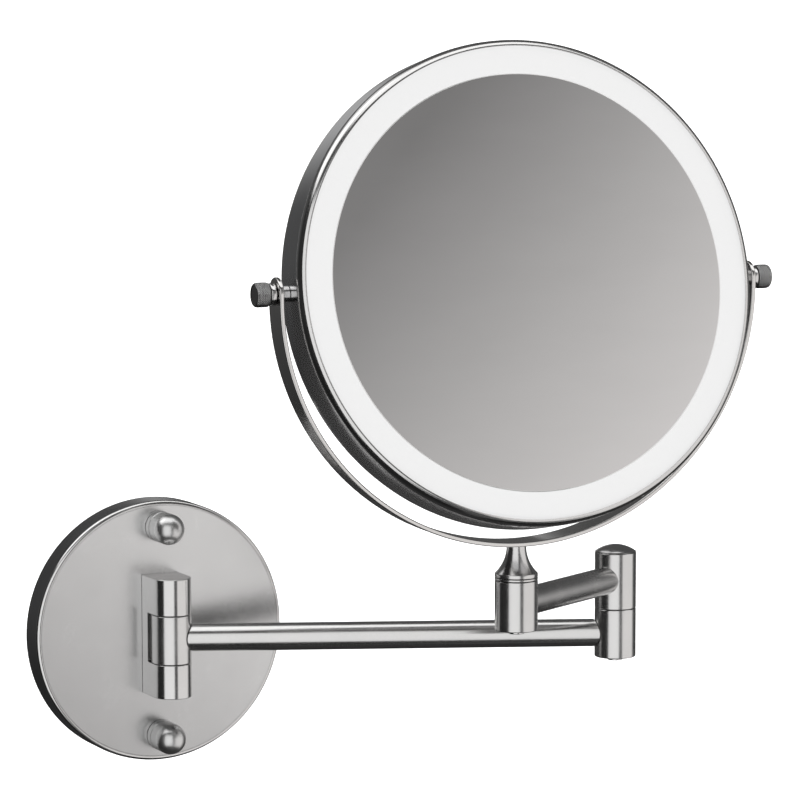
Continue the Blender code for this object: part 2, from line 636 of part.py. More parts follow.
def bezel_profile(outer, lip, front, depth, step, side):
    """Outline of a trim ring: a rounded shoulder, a narrow front and a lip over the glass."""
    inner = BAND_RADIUS - BAND_WALL - GAP
    back = depth + 1.6 * MM
    corners = [
        (inner, front - back), (inner, front - depth), (outer, front - depth),
        (outer, front, 1.3 * MM), (lip + 1.6 * MM, front), (lip, front - step),
        (lip, front - step - MIRROR_BED), (inner - 0.9 * MM, front - step - MIRROR_BED),
        (inner - 0.9 * MM, front - back)]
    return [(r, side * z) for r, z in rounded(corners)]


def build_front(head):
    piece("front_bezel", turned(bezel_profile(
        BEZEL_RADIUS, BEZEL_LIP, HEAD_FRONT, BEZEL_DEPTH, BEZEL_STEP, 1), ROUND_LARGE),
        "dark_steel", head)
    face = HEAD_FRONT - BEZEL_STEP - MIRROR_BED - GAP
    outer = BAND_RADIUS - BAND_WALL - 0.9 * MM - 2 * GAP
    piece("light_ring", ring(GLASS_RADIUS + GAP, min(outer, LIGHT_RING_OUTER),
                             face - RING_THICKNESS, face, ROUND_LARGE),
          "frosted_acrylic", head)
    piece("front_mirror", turned([
        (0.0, face), (GLASS_RADIUS, face), (GLASS_RADIUS, face - GLASS_THICKNESS),
        (0.0, face - GLASS_THICKNESS)], ROUND_LARGE), "mirror_glass", head)


def build_rear(head):
    piece("rear_bezel", turned(bezel_profile(
        BAND_RADIUS, REAR_LIP, HEAD_BACK, BEZEL_DEPTH, BEZEL_STEP, -1), ROUND_LARGE),
        "dark_steel", head)
    face = -(HEAD_BACK - BEZEL_STEP - MIRROR_BED - GAP)
    hollow = 1.0 * MM                   # depth of the magnifying dish at its centre
    steps = 4
    dish = [(REAR_GLASS_RADIUS * i / steps, face + hollow * (1 - (i / steps) ** 2))
            for i in range(steps + 1)]
    back = [(r, z + GLASS_THICKNESS / 2) for r, z in reversed(dish)]
    piece("rear_mirror", turned(dish + back, ROUND_LARGE), "mirror_glass", head)


def build_electrics(head, band):
    """Tray, light board, battery, control board, socket and button."""
    top = HEAD_FRONT - BEZEL_STEP - MIRROR_BED - 2 * GAP - GLASS_THICKNESS
    ledge = top - TRAY_STEP
    within = TRAY_MIDDLE - TRAY_WALL
    tray = piece("inner_tray", turned([
        (0.0, top), (TRAY_MIDDLE, top), (TRAY_MIDDLE, ledge), (TRAY_RADIUS, ledge),
        (TRAY_RADIUS, ledge - TRAY_WALL), (within, ledge - TRAY_WALL),
        (within, top - TRAY_WALL), (0.0, top - TRAY_WALL)], ROUND_LARGE), "tray_plastic", head)
    board_low = ledge + GAP
    board_high = board_low + BOARD_THICKNESS
    board = piece("led_board", ring(TRAY_MIDDLE + 2 * GAP, TRAY_RADIUS, board_low, board_high,
                                    ROUND_LARGE), "circuit_board", head)
    chips = bmesh.new()
    for i in range(LED_COUNT):
        turn = Matrix.Rotation(tau * i / LED_COUNT, 4, "Z")
        place = turn @ Matrix.Translation((LED_CIRCLE, 0.0, board_high + CHIP_HEIGHT / 2 - MERGE))
        size = Matrix.Diagonal((CHIP_SIZE, CHIP_SIZE, CHIP_HEIGHT, 1.0))
        bmesh.ops.create_cube(chips, size=1.0, matrix=place @ size)
    cut(board, chips, "UNION")
    room_top = top - TRAY_WALL - GAP
    piece("battery_pack", rounded_block(BATTERY_X, BATTERY_Y,
                                        (room_top - BATTERY_THICKNESS, room_top), 2.0 * MM),
          "battery_wrap", head)
    build_controls(head, band, tray, ledge, room_top)


def rounded_block(x, y, z, radius):
    corners = [(x[0], y[0], radius), (x[1], y[0], radius), (x[1], y[1], radius),
               (x[0], y[1], radius)]
    return prism(rounded(corners), *z)


def lead(name, points, parent):
    """A thin insulated wire along a smooth line through the points."""
    curve = bpy.data.curves.new(name, "CURVE")
    curve.dimensions = "3D"
    curve.bevel_depth = LEAD_RADIUS
    curve.bevel_resolution = 1
    curve.use_fill_caps = True
    spline = curve.splines.new("POLY")
    steps = 5
    path = []
    for i in range(len(points) - 1):
        before, start = Vector(points[max(i - 1, 0)]), Vector(points[i])
        end, after = Vector(points[i + 1]), Vector(points[min(i + 2, len(points) - 1)])
        for step in range(steps + (i == len(points) - 2)):
            t = step / steps
            path.append(0.5 * (2 * start + (end - before) * t
                               + (2 * before - 5 * start + 4 * end - after) * t ** 2
                               + (3 * start - before - 3 * end + after) * t ** 3))
    spline.points.add(len(path) - 1)
    for point, place in zip(spline.points, path):
        point.co = (*place, 1.0)
    obj = bpy.data.objects.new(name, curve)
    bpy.context.scene.collection.objects.link(obj)
    obj.parent = parent
    own_material(obj, "black_plastic")


def build_controls(head, band, tray, ledge, room_top):
    """Control board, its leads, the charging socket, and the power button with its switch."""
    middle = (BUTTON_ANGLE + SOCKET_ANGLE) / 2
    back = room_top - CONTROL_BOARD_DROP
    spot = frame("control_spot", head, rotation=(0.0, 0.0, middle))
    piece("control_board", box(CONTROL_BOARD_REACH, (-CONTROL_BOARD_HALF, CONTROL_BOARD_HALF),
                               (back, back + BOARD_THICKNESS)), "circuit_board", spot)
    wire = back + LEAD_RADIUS
    lead("battery_lead", [
        (7.0 * MM, 10.2 * MM, wire + 2.6 * MM), (19.0 * MM, 7.7 * MM, wire + 1.6 * MM),
        (44.5 * MM, 4.3 * MM, wire + 0.4 * MM), (CONTROL_BOARD_REACH[0] - GAP, 0.0, wire)], spot)
    lead("light_lead", [
        (CONTROL_BOARD_REACH[1] + GAP, 0.0, wire), (LEAD_HOLE_AT - 5.0 * MM, 0.0, wire),
        (LEAD_HOLE_AT - 1.0 * MM, 0.0, wire + 1.5 * MM),
        (LEAD_HOLE_AT, 0.0, ledge - TRAY_WALL - 1.5 * MM), (LEAD_HOLE_AT, 0.0, ledge - GAP)], spot)
    way = Matrix.Rotation(radians(middle), 3, "Z") @ Vector((LEAD_HOLE_AT, 0.0, 0.0))
    cut(tray, solid_rod(LEAD_RADIUS + 2 * GAP, ledge - 2 * TRAY_WALL, ledge + TRAY_WALL), location=way)
    build_button(head, band)
    build_socket(head, band)


def build_button(head, band):
    """The push button in its hole in the band, held by a flange, and the switch behind it."""
    spot = frame("button_spot", head, rotation=(0.0, 0.0, BUTTON_ANGLE))
    inner = BAND_RADIUS - BAND_WALL
    outwards = (0.0, 90.0, 0.0)
    hole = solid_rod(BUTTON_RADIUS + GAP, inner - BAND_WALL, BAND_RADIUS + BAND_WALL)
    cut_in_spot(band, hole, BUTTON_ANGLE, CONTROL_LEVEL, outwards)
    edge = 0.4 * MM
    cap = BAND_RADIUS + BUTTON_TRAVEL + edge
    seat = inner - BAND_WALL
    foot = seat - BUTTON_STEM_LENGTH
    piece("power_button", turned([
        (0.0, cap), (BUTTON_RADIUS - edge, cap), (BUTTON_RADIUS, cap - edge),
        (BUTTON_RADIUS, inner - GAP), (BUTTON_FLANGE, inner - GAP), (BUTTON_FLANGE, seat),
        (BUTTON_STEM, seat), (BUTTON_STEM, foot), (0.0, foot)], ROUND_SMALL),
        "polished_steel", spot, (0.0, 0.0, CONTROL_LEVEL), outwards)
    top = foot - BUTTON_TRAVEL - GAP
    half = SWITCH_SIZE / 2
    piece("switch_body", box((top - SWITCH_DEPTH, top), (-half, half),
                             (CONTROL_LEVEL - half, CONTROL_LEVEL + half)), "black_plastic", spot)


def build_socket(head, band):
    """The charging socket's shell, closed behind and open at the band."""
    spot = frame("socket_spot", head, rotation=(0.0, 0.0, SOCKET_ANGLE))
    place = (0.0, 0.0, CONTROL_LEVEL)
    outwards = (90.0, 0.0, 90.0)
    wide, high = SOCKET_WIDTH, SOCKET_HEIGHT
    mouth = BAND_RADIUS - GAP
    opening = prism(slot_outline(wide + 2 * GAP, high + 2 * GAP),
                    BAND_RADIUS - 3 * BAND_WALL, BAND_RADIUS + BAND_WALL)
    cut_in_spot(band, opening, SOCKET_ANGLE, CONTROL_LEVEL, outwards)
    shell = piece("charging_socket", prism(slot_outline(wide, high), mouth - SOCKET_DEPTH, mouth),
                  "zinc_steel", spot, place, outwards)
    hollow = prism(slot_outline(wide - 2 * SOCKET_WALL, high - 2 * SOCKET_WALL),
                   mouth - SOCKET_DEPTH + 1 * MM, mouth + 1 * MM)
    cut(shell, hollow, location=place, rotation=outwards)


def cut_in_spot(band, bm, angle, level, rotation):
    """Cut the band with a tool that points outwards at an angle round the head."""
    spot = Matrix.Rotation(radians(angle), 4, "Z") @ Matrix.Translation((0.0, 0.0, level))
    turn = Euler([radians(axis) for axis in rotation]).to_matrix().to_4x4()
    bm.transform(spot @ turn)
    bm.normal_update()
    cut(band, bm)


def build_pivot(word, side, head, band):
    """One side's riveted nut, sleeve, stud, collar and knurled knob, from inside to outside."""
    turn = (0.0, 90.0 * side, 0.0)
    inner = BAND_RADIUS - BAND_WALL
    yoke_in = sqrt((YOKE_RADIUS - YOKE_THICKNESS) ** 2 - YOKE_CENTRE_DROP ** 2)
    yoke_out = sqrt(YOKE_RADIUS ** 2 - YOKE_CENTRE_DROP ** 2)
    bore = STUD_PIVOT_RADIUS + GAP
    hole = solid_rod(bore, inner - 2 * MM, BAND_RADIUS + 2 * MM, ROUND_SMALL)
    cut_in_spot(band, hole, 0.0 if side > 0 else 180.0, 0.0, (0.0, 90.0, 0.0))
    nut_end = inner - 1.5 * MM
    piece(f"pivot_insert_{word}", ring(bore, 4.8 * MM, nut_end - 4.4 * MM, nut_end, ROUND_SMALL),
          "zinc_steel", head, rotation=turn)
    piece(f"pivot_sleeve_{word}", ring(bore, SLEEVE_RADIUS, BAND_RADIUS + GAP, yoke_in - GAP,
                                       ROUND_SMALL), "polished_steel", head, rotation=turn)
    collar_end = yoke_out + GAP + COLLAR_LENGTH
    piece(f"pivot_stud_{word}", solid_rod(STUD_PIVOT_RADIUS, nut_end - 6.0 * MM,
                                          KNOB_END - 3.0 * MM, 20, 0.3 * MM),
          "zinc_steel", head, rotation=turn)
    piece(f"knob_collar_{word}", turned(rounded([
        (bore, yoke_out + GAP), (COLLAR_RADIUS, yoke_out + GAP, 0.4 * MM),
        (COLLAR_RADIUS, collar_end, 0.4 * MM), (bore, collar_end)], 1), ROUND_SMALL),
        "polished_steel", head, rotation=turn)
    build_knob(word, turn, collar_end + GAP, head)


def build_knob(word, turn, base, head):
    """A cylinder with a straight knurl, a chamfered end and a blind threaded hole."""
    bore = STUD_PIVOT_RADIUS + GAP
    floor = KNOB_END - 3.0 * MM + GAP
    bm = bmesh.new()
    count = KNURL_COUNT * 2

    def loop(radius, z, knurl):
        points = []
        for i in range(count):
            r = radius - (knurl if i % 2 else 0.0)
            points.append(bm.verts.new((r * cos(tau * i / count), r * sin(tau * i / count), z)))
        return points

    edge = 0.5 * MM
    small = KNOB_RADIUS - edge
    rings = [loop(bore, floor, 0.0), loop(bore, base, 0.0), loop(small, base, 0.0),
             loop(KNOB_RADIUS, base + edge, KNURL_DEPTH),
             loop(KNOB_RADIUS, KNOB_END - edge, KNURL_DEPTH), loop(small, KNOB_END, 0.0)]
    for one, two in zip(rings, rings[1:]):
        for i in range(count):
            j = (i + 1) % count
            bm.faces.new((one[i], one[j], two[j], two[i]))
    bm.faces.new(rings[0])
    bm.faces.new(rings[-1])
    piece(f"clamp_knob_{word}", bm, "knurled_steel", head, rotation=turn)


def main():
    clear_scene()
    build_wall_mount()
    lower_arm = build_lower_arm()
    upper_arm = build_upper_arm(lower_arm)
    post = build_yoke(upper_arm)
    build_head(post)


main()
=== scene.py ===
"""Extendable shaving mirror: the finished look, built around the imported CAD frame.

Millimetres in the profiles below, metres in the scene. Row frame: origin at the centre of the
wall mount's back, +Y into the wall, +X right, +Z up.
"""

import json
from math import acos, cos, pi, radians, sin, sqrt, tau

import bmesh
import bpy
from mathutils import Matrix, Vector

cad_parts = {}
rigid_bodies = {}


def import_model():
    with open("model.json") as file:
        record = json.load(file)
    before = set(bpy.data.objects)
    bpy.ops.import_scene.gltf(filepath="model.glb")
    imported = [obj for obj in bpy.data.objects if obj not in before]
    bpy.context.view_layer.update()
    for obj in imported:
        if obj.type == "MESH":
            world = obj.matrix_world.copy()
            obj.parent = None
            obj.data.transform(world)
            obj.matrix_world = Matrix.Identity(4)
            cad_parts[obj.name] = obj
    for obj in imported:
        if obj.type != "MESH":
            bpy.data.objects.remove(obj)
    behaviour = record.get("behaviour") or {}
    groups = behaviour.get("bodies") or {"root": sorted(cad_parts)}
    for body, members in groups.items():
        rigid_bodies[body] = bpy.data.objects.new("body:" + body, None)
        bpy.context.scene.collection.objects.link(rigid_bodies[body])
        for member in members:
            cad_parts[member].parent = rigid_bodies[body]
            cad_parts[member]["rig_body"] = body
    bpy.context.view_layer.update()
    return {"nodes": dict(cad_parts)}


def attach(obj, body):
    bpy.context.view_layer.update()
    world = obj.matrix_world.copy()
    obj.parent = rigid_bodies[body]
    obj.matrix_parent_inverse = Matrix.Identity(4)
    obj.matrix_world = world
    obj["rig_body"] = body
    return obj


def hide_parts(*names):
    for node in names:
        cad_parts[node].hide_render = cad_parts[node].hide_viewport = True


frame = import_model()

MM = 0.001
GAP = 0.3                # clearance between pieces that meet

# --- Frames of the CAD's bodies ---------------------------------------------------------------

def shift(x, y, z):
    """A move in millimetres."""
    return Matrix.Translation((x * MM, y * MM, z * MM))


def turn(angle, axis):
    """A turn in degrees."""
    return Matrix.Rotation(radians(angle), 4, axis)


WORLD = Matrix.Identity(4)
HINGE_OUT = -27.25                                        # the hinge's axis, off the wall
WALL = turn(90.0, "X")                                    # +Z out of the wall
HINGE = shift(0.0, HINGE_OUT, 0.0) @ turn(-21.93, "Z")    # +X along the lower arm
ARM1_REACH = 202.24
ARM2_REACH = 83.82
ELBOW = HINGE @ shift(ARM1_REACH, 0.0, 0.0) @ turn(-127.94, "Z")
POST = ELBOW @ shift(ARM2_REACH, 0.0, 0.0) @ turn(145.81, "Z")
PIVOT_HEIGHT = 164.33    # the head's tilt axis, above the elbow's zero
HEAD = POST @ shift(0.0, 0.0, PIVOT_HEIGHT) @ turn(-11.16, "X") @ turn(90.0, "X")

# --- Mesh helpers -----------------------------------------------------------------------------

def rounded(corners, steps=5):
    """Points of an outline: each corner is (a, b) or (a, b, fillet radius)."""
    points = []
    for i, corner in enumerate(corners):
        here = Vector(corner[:2])
        fillet = corner[2] if len(corner) > 2 else 0.0
        if fillet <= 0.0:
            points.append(tuple(here))
            continue
        to_last = (Vector(corners[i - 1][:2]) - here).normalized()
        to_next = (Vector(corners[(i + 1) % len(corners)][:2]) - here).normalized()
        half = acos(max(-1.0, min(1.0, to_last.dot(to_next)))) / 2
        centre = here + (to_last + to_next).normalized() * (fillet / sin(half))
        reach = fillet * cos(half) / sin(half)
        first = here + to_last * reach - centre
        angle = first.angle_signed(here + to_next * reach - centre)
        for step in range(steps + 1):
            spoke = first.copy()
            spoke.rotate(Matrix.Rotation(-angle * step / steps, 2))
            points.append(tuple(centre + spoke))
    return points


def arc(centre, radius, start, end, steps):
    """Points of a circular arc between two angles in degrees."""
    angles = (radians(start + (end - start) * i / steps) for i in range(steps + 1))
    return [(centre[0] + radius * cos(a), centre[1] + radius * sin(a)) for a in angles]


def lathe(profile, segments=128):
    """Spin an outline of (radius, height) points; a radius of 0 is a point on the axis."""
    bm = bmesh.new()
    rings = []
    for r, z in profile:
        if r <= 0.0:
            rings.append([bm.verts.new((0.0, 0.0, z))])
        else:
            rings.append([bm.verts.new((r * cos(tau * i / segments), r * sin(tau * i / segments), z))
                          for i in range(segments)])
    closed = len(rings[0]) > 1 and len(rings[-1]) > 1
    pairs = list(zip(rings, rings[1:])) + ([(rings[-1], rings[0])] if closed else [])
    for one, two in pairs:
        for i in range(segments):
            j = (i + 1) % segments
            if len(one) == 1:
                bm.faces.new((one[0], two[j], two[i]))
            elif len(two) == 1:
                bm.faces.new((one[i], one[j], two[0]))
            else:
                bm.faces.new((one[i], one[j], two[j], two[i]))
    return bm


def skin(loops, closed=True):
    """Skin equally long point loops, as a closed chain or with capped ends."""
    bm = bmesh.new()
    rings = [[bm.verts.new(point) for point in loop] for loop in loops]
    pairs = list(zip(rings, rings[1:] + rings[:1])) if closed else list(zip(rings, rings[1:]))
    for one, two in pairs:
        for i in range(len(one)):
            j = (i + 1) % len(one)
            bm.faces.new((one[i], one[j], two[j], two[i]))
    if not closed:
        bm.faces.new(rings[0])
        bm.faces.new(rings[-1])
    return bm


def plate(outline, low, high, edge, steps=3):
    """Loops of a convex outline extruded along Z, with rounded edges top and bottom."""
    centre = Vector((sum(p[0] for p in outline) / len(outline),
                     sum(p[1] for p in outline) / len(outline)))
    count = len(outline)

    def inset(amount):
        points = []
        for i in range(count):
            here = Vector(outline[i])
            back = here - Vector(outline[i - 1])
            ahead = Vector(outline[(i + 1) % count]) - here
            one = Vector((back.y, -back.x)).normalized()
            two = Vector((ahead.y, -ahead.x)).normalized()
            if one.dot(here - centre) < 0.0:
                one, two = -one, -two
            out = (one + two).normalized()
            points.append(here - out * (amount / max(0.5, out.dot(one))))
        return points

    loops = []
    for i in range(steps + 1):
        a = radians(90.0 * i / steps)
        loops.append([(p.x, p.y, low + edge * (1.0 - sin(a))) for p in inset(edge * (1.0 - cos(a)))])
    loops.reverse()
    for i in range(steps + 1):
        a = radians(90.0 * i / steps)
        loops.append([(p.x, p.y, high - edge * (1.0 - sin(a))) for p in inset(edge * (1.0 - cos(a)))])
    return loops


def slot_outline(length, width, steps=24):
    """A slot with round ends, lying along X."""
    half = (length - width) / 2
    right = arc((half, 0.0), width / 2, -90.0, 90.0, steps)
    return right + arc((-half, 0.0), width / 2, 90.0, 270.0, steps)


def rod(radius, low, high, segments=64):
    """A plain cylinder along Z."""
    return lathe([(0.0, low), (radius, low), (radius, high), (0.0, high)], segments)


def moved(bm, x=0.0, y=0.0, z=0.0, rotation=Matrix.Identity(4)):
    """The same mesh, turned and then shifted."""
    bm.transform(Matrix.Translation((x, y, z)) @ rotation)
    return bm


def joined(operation, bm, *tools):
    """A Boolean of meshes, in millimetres."""

    def loose(mesh_data, name):
        bmesh.ops.recalc_face_normals(mesh_data, faces=mesh_data.faces)
        mesh = bpy.data.meshes.new(name)
        mesh_data.to_mesh(mesh)
        mesh_data.free()
        obj = bpy.data.objects.new(name, mesh)
        bpy.context.scene.collection.objects.link(obj)
        return obj

    base = loose(bm, "base")
    others = [loose(tool, "tool") for tool in tools]
    for other in others:
        step = base.modifiers.new("step", "BOOLEAN")
        step.object = other
        step.operation = operation
        step.solver = "EXACT"
    graph = bpy.context.evaluated_depsgraph_get()
    result = bmesh.new()
    result.from_mesh(base.evaluated_get(graph).to_mesh())
    for obj in [base] + others:
        mesh = obj.data
        bpy.data.objects.remove(obj)
        bpy.data.meshes.remove(mesh)
    return result


def piece(name, bm, place, nodes, slot, *materials, sharp=32.0):
    """A finished object that stands for CAD nodes and rides on their body."""
    bmesh.ops.remove_doubles(bm, verts=bm.verts, dist=0.0005)
    bmesh.ops.recalc_face_normals(bm, faces=bm.faces)
    bm.transform(Matrix.Scale(MM, 4))
    mesh = bpy.data.meshes.new(name)
    bm.to_mesh(mesh)
    bm.free()
    mesh.shade_smooth()
    mesh.set_sharp_from_angle(angle=radians(sharp))
    obj = bpy.data.objects.new(name, mesh)
    bpy.context.scene.collection.objects.link(obj)
    obj.matrix_world = place
    for material in materials:
        mesh.materials.append(material)
    smooth = obj.modifiers.new("normals", "WEIGHTED_NORMAL")
    smooth.weight = 100
    smooth.keep_sharp = True
    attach(obj, frame["nodes"][nodes[0]]["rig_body"])
    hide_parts(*nodes)
    return obj


# --- Materials --------------------------------------------------------------------------------

GRAIN_DEPTH = 0.00002    # metres


class Nodes:
    """Shorthand for building a material's node tree."""

    def __init__(self, name):
        self.material = bpy.data.materials.new(name)
        self.material.use_nodes = True
        self.tree = self.material.node_tree
        self.shader = self.tree.nodes["Principled BSDF"]
        self.coords = self.tree.nodes.new("ShaderNodeTexCoord").outputs["Object"]

    def add(self, kind, **values):
        node = self.tree.nodes.new(kind)
        for key, value in values.items():
            setattr(node, key, value)
        return node

    def link(self, a, b):
        self.tree.links.new(a, b)

    def noise(self, scale, detail=2.0, stretch=(1.0, 1.0, 1.0)):
        """Noise at a scale per metre, stretched along the object's axes."""
        mapping = self.add("ShaderNodeMapping")
        mapping.inputs["Scale"].default_value = stretch
        self.link(self.coords, mapping.inputs["Vector"])
        node = self.add("ShaderNodeTexNoise")
        node.inputs["Scale"].default_value = scale
        node.inputs["Detail"].default_value = detail
        self.link(mapping.outputs["Vector"], node.inputs["Vector"])
        return node.outputs["Fac"]

    def spread(self, source, low, high, from_low=0.3, from_high=0.7):
        node = self.add("ShaderNodeMapRange")
        node.inputs["From Min"].default_value = from_low
        node.inputs["From Max"].default_value = from_high
        node.inputs["To Min"].default_value = low
        node.inputs["To Max"].default_value = high
        self.link(source, node.inputs["Value"])
        return node.outputs["Result"]

    def mix(self, factor, one, two):
        node = self.add("ShaderNodeMix", data_type="RGBA")
        node.inputs["A"].default_value = (*one, 1.0)
        node.inputs["B"].default_value = (*two, 1.0)
        self.link(factor, node.inputs["Factor"])
        return node.outputs["Result"]

    def painted_light_gradient(self, colour, painted_light_slope):
        """Painted light: lighter towards the upper right, by shares per metre along X and Y."""
        dot = self.add("ShaderNodeVectorMath", operation="DOT_PRODUCT")
        self.link(self.coords, dot.inputs[0])
        dot.inputs[1].default_value = (*painted_light_slope, 0.0)
        plus = self.add("ShaderNodeMath", operation="ADD")
        self.link(dot.outputs["Value"], plus.inputs[0])
        plus.inputs[1].default_value = 1.0
        scaled = self.add("ShaderNodeVectorMath", operation="SCALE")
        self.link(colour, scaled.inputs[0])
        self.link(plus.outputs[0], scaled.inputs["Scale"])
        return scaled.outputs["Vector"]

    def bump(self, height, strength, distance):
        node = self.add("ShaderNodeBump")
        node.inputs["Strength"].default_value = strength
        node.inputs["Distance"].default_value = distance
        self.link(height, node.inputs["Height"])
        self.link(node.outputs["Normal"], self.shader.inputs["Normal"])


def metal(name, colour, roughness, spread=0.02, grain=9000.0, stretch=(1.0, 1.0, 1.0), bump=0.02,
          tone=0.03, painted_light_slope=None):
    """Steel with a fine grain, faint handling marks and slightly uneven tone; given a slope, it also
    carries painted light, lighter towards the upper right.
    """
    n = Nodes(name)
    n.shader.inputs["Metallic"].default_value = 1.0
    cloud = n.noise(60.0, 3.0)
    fine = n.noise(grain, 2.0, stretch)
    dark = tuple(c * (1.0 - tone) for c in colour)
    light = tuple(min(1.0, c * (1.0 + tone)) for c in colour)
    colour_out = n.mix(n.spread(cloud, 0.0, 1.0), dark, light)
    if painted_light_slope:
        colour_out = n.painted_light_gradient(colour_out, painted_light_slope)
    n.link(colour_out, n.shader.inputs["Base Color"])
    both = n.add("ShaderNodeMath", operation="ADD")
    n.link(n.spread(cloud, roughness - spread, roughness + spread), both.inputs[0])
    n.link(n.spread(fine, -spread, spread), both.inputs[1])
    n.link(both.outputs[0], n.shader.inputs["Roughness"])
    n.bump(fine, bump, GRAIN_DEPTH)
    return n.material


def plastic(name, colour, roughness, grain=4000.0, bump=0.1, tone=0.05):
    """Plastic with a fine grain and slightly uneven tone."""
    n = Nodes(name)
    fine = n.noise(grain, 2.0)
    dark = tuple(c * (1.0 - tone) for c in colour)
    light = tuple(min(1.0, c * (1.0 + tone)) for c in colour)
    n.link(n.mix(n.spread(n.noise(150.0), 0.0, 1.0), dark, light), n.shader.inputs["Base Color"])
    n.link(n.spread(fine, roughness - 0.05, roughness + 0.05), n.shader.inputs["Roughness"])
    n.bump(fine, bump, GRAIN_DEPTH)
    return n.material


STEEL = (0.66, 0.655, 0.65)
POLISHED = metal("polished_steel", STEEL, 0.17, bump=0.004)
SOFT = metal("soft_polished_steel", STEEL, 0.25, bump=0.006)
BARREL = metal("polished_barrel_steel", STEEL, 0.22, stretch=(1.0, 1.0, 0.05), bump=0.004)
# The satin plate carries painted light: its colour grows lighter towards the upper right.
SATIN = metal("satin_steel", (0.585, 0.585, 0.585), 0.26, spread=0.01, grain=14000.0, bump=0.02,
              painted_light_slope=(2.3, 2.8))
# Painted shade: the cover's side band and back get steel darkened to stand in for a dark reflection.
PAINTED_SHADE_SIDE = metal("side_steel_painted_shade", (0.34, 0.34, 0.345), 0.22, bump=0.004)
DRUM = metal("dark_steel", (0.60, 0.60, 0.61), 0.16, bump=0.003)
STRAP = metal("strap_steel", (0.66, 0.65, 0.64), 0.13, bump=0.003)
NUT = metal("nut_steel", (0.66, 0.66, 0.655), 0.33, bump=0.006)
# Painted shade: the knobs' steel is darkened to stand in for the shade in the knurl's grooves.
KNURL_PAINTED_SHADE = metal("knurled_steel", (0.30, 0.30, 0.30), 0.24, bump=0.004)
ZINC = metal("zinc_steel", (0.52, 0.53, 0.54), 0.38, tone=0.08)
NYLON = plastic("white_nylon", (0.80, 0.80, 0.78), 0.5)
BOARD = plastic("circuit_board", (0.80, 0.82, 0.80), 0.45)
TRAY = plastic("tray_plastic", (0.68, 0.68, 0.67), 0.5)
WRAP = plastic("battery_wrap", (0.20, 0.24, 0.32), 0.35)
BLACK = plastic("black_plastic", (0.03, 0.03, 0.03), 0.45)


def glass_material():
    """Silvered glass: a mirror with faint wiping marks."""
    n = Nodes("mirror_glass")
    n.shader.inputs["Metallic"].default_value = 1.0
    marks = n.noise(25.0, 4.0, (1.0, 3.0, 1.0))
    n.link(n.mix(n.spread(marks, 0.0, 1.0), (0.85, 0.835, 0.83), (0.87, 0.855, 0.85)),
           n.shader.inputs["Base Color"])
    n.link(n.spread(marks, 0.02, 0.04), n.shader.inputs["Roughness"])
    return n.material


def light_material():
    """Frosted acrylic, lit from behind."""
    n = Nodes("frosted_acrylic")
    fine = n.noise(5000.0, 2.0)
    n.link(n.mix(n.spread(fine, 0.0, 1.0), (0.25, 0.25, 0.25), (0.26, 0.26, 0.26)),
           n.shader.inputs["Base Color"])
    n.link(n.spread(fine, 0.50, 0.60), n.shader.inputs["Roughness"])
    n.shader.inputs["Specular IOR Level"].default_value = 0.1
    n.shader.inputs["Emission Color"].default_value = (1.0, 1.0, 1.0, 1.0)
    n.shader.inputs["Emission Strength"].default_value = 0.595
    n.bump(fine, 0.05, GRAIN_DEPTH)
    return n.material


GLASS = glass_material()
LIT = light_material()

# --- Wall mount -------------------------------------------------------------------------------

STUDS = (48.2, -48.2)
SCREWS = (18.0, -20.0)
STUD_HOLE = 2.8
SCREW_HOLE = 1.9
COVER_RADIUS = 60.0
COVER_FACE = 13.85
COVER_SHEET = 1.2
GROOVE_FLOOR = COVER_FACE - 0.25
SIDE_START = COVER_RADIUS - 0.03
RIM_START = 58.0
MOUNT_BACK = COVER_FACE + GAP    # the underside of what stands on the cover

cover = lathe(rounded([
    (0.0, COVER_FACE), (57.75, COVER_FACE, 0.1), (57.87, GROOVE_FLOOR), (58.09, GROOVE_FLOOR),
    (58.21, COVER_FACE, 0.1), (COVER_RADIUS, COVER_FACE, 1.6), (COVER_RADIUS, 0.0, 0.25),
    (COVER_RADIUS - COVER_SHEET, 0.0, 0.2), (COVER_RADIUS - COVER_SHEET, COVER_FACE - COVER_SHEET),
    (0.0, COVER_FACE - COVER_SHEET)], 6), 256)
holes = [moved(rod(STUD_HOLE, 6.0, 15.0), y=y) for y in STUDS]
holes += [moved(rod(SCREW_HOLE, 6.0, 15.0), y=y) for y in SCREWS]
cover = piece("wall_cover_fine", joined("DIFFERENCE", cover, *holes), WALL, ["wall_cover"],
              "satin_steel", SATIN, PAINTED_SHADE_SIDE, POLISHED)
# The side band and the back take the steel darkened with painted shade; the rim takes polished steel.
for face in cover.data.polygons:
    middle = Vector((face.center.x, face.center.y)).length / MM
    if middle > SIDE_START or face.center.z < 0.5 * MM:
        face.material_index = 1
    elif middle > RIM_START:
        face.material_index = 2

NUT_RADIUS = 7.05
NUT_DOME = 24.95      # where the domed end starts
NUT_GROOVE = 18.05
for word, y in zip(("upper", "lower"), STUDS):
    nut = lathe(arc((0.0, NUT_DOME), NUT_RADIUS, 90.0, 2.0, 18) + rounded([
        (NUT_RADIUS, NUT_DOME - 0.05), (NUT_RADIUS - 0.15, NUT_DOME - 0.17),
        (NUT_RADIUS, NUT_DOME - 0.29), (NUT_RADIUS, NUT_GROOVE + 0.35, 0.12),
        (NUT_RADIUS - 0.33, NUT_GROOVE, 0.08), (NUT_RADIUS, NUT_GROOVE - 0.35, 0.12),
        (NUT_RADIUS, MOUNT_BACK, 0.3), (STUD_HOLE, MOUNT_BACK), (STUD_HOLE, NUT_DOME)], 4)
        + [(0.0, NUT_DOME)], 128)
    piece(f"cap_nut_{word}_fine", nut, WALL @ shift(0.0, y, 0.0), [f"cap_nut_{word}"],
          "polished_steel", NUT)

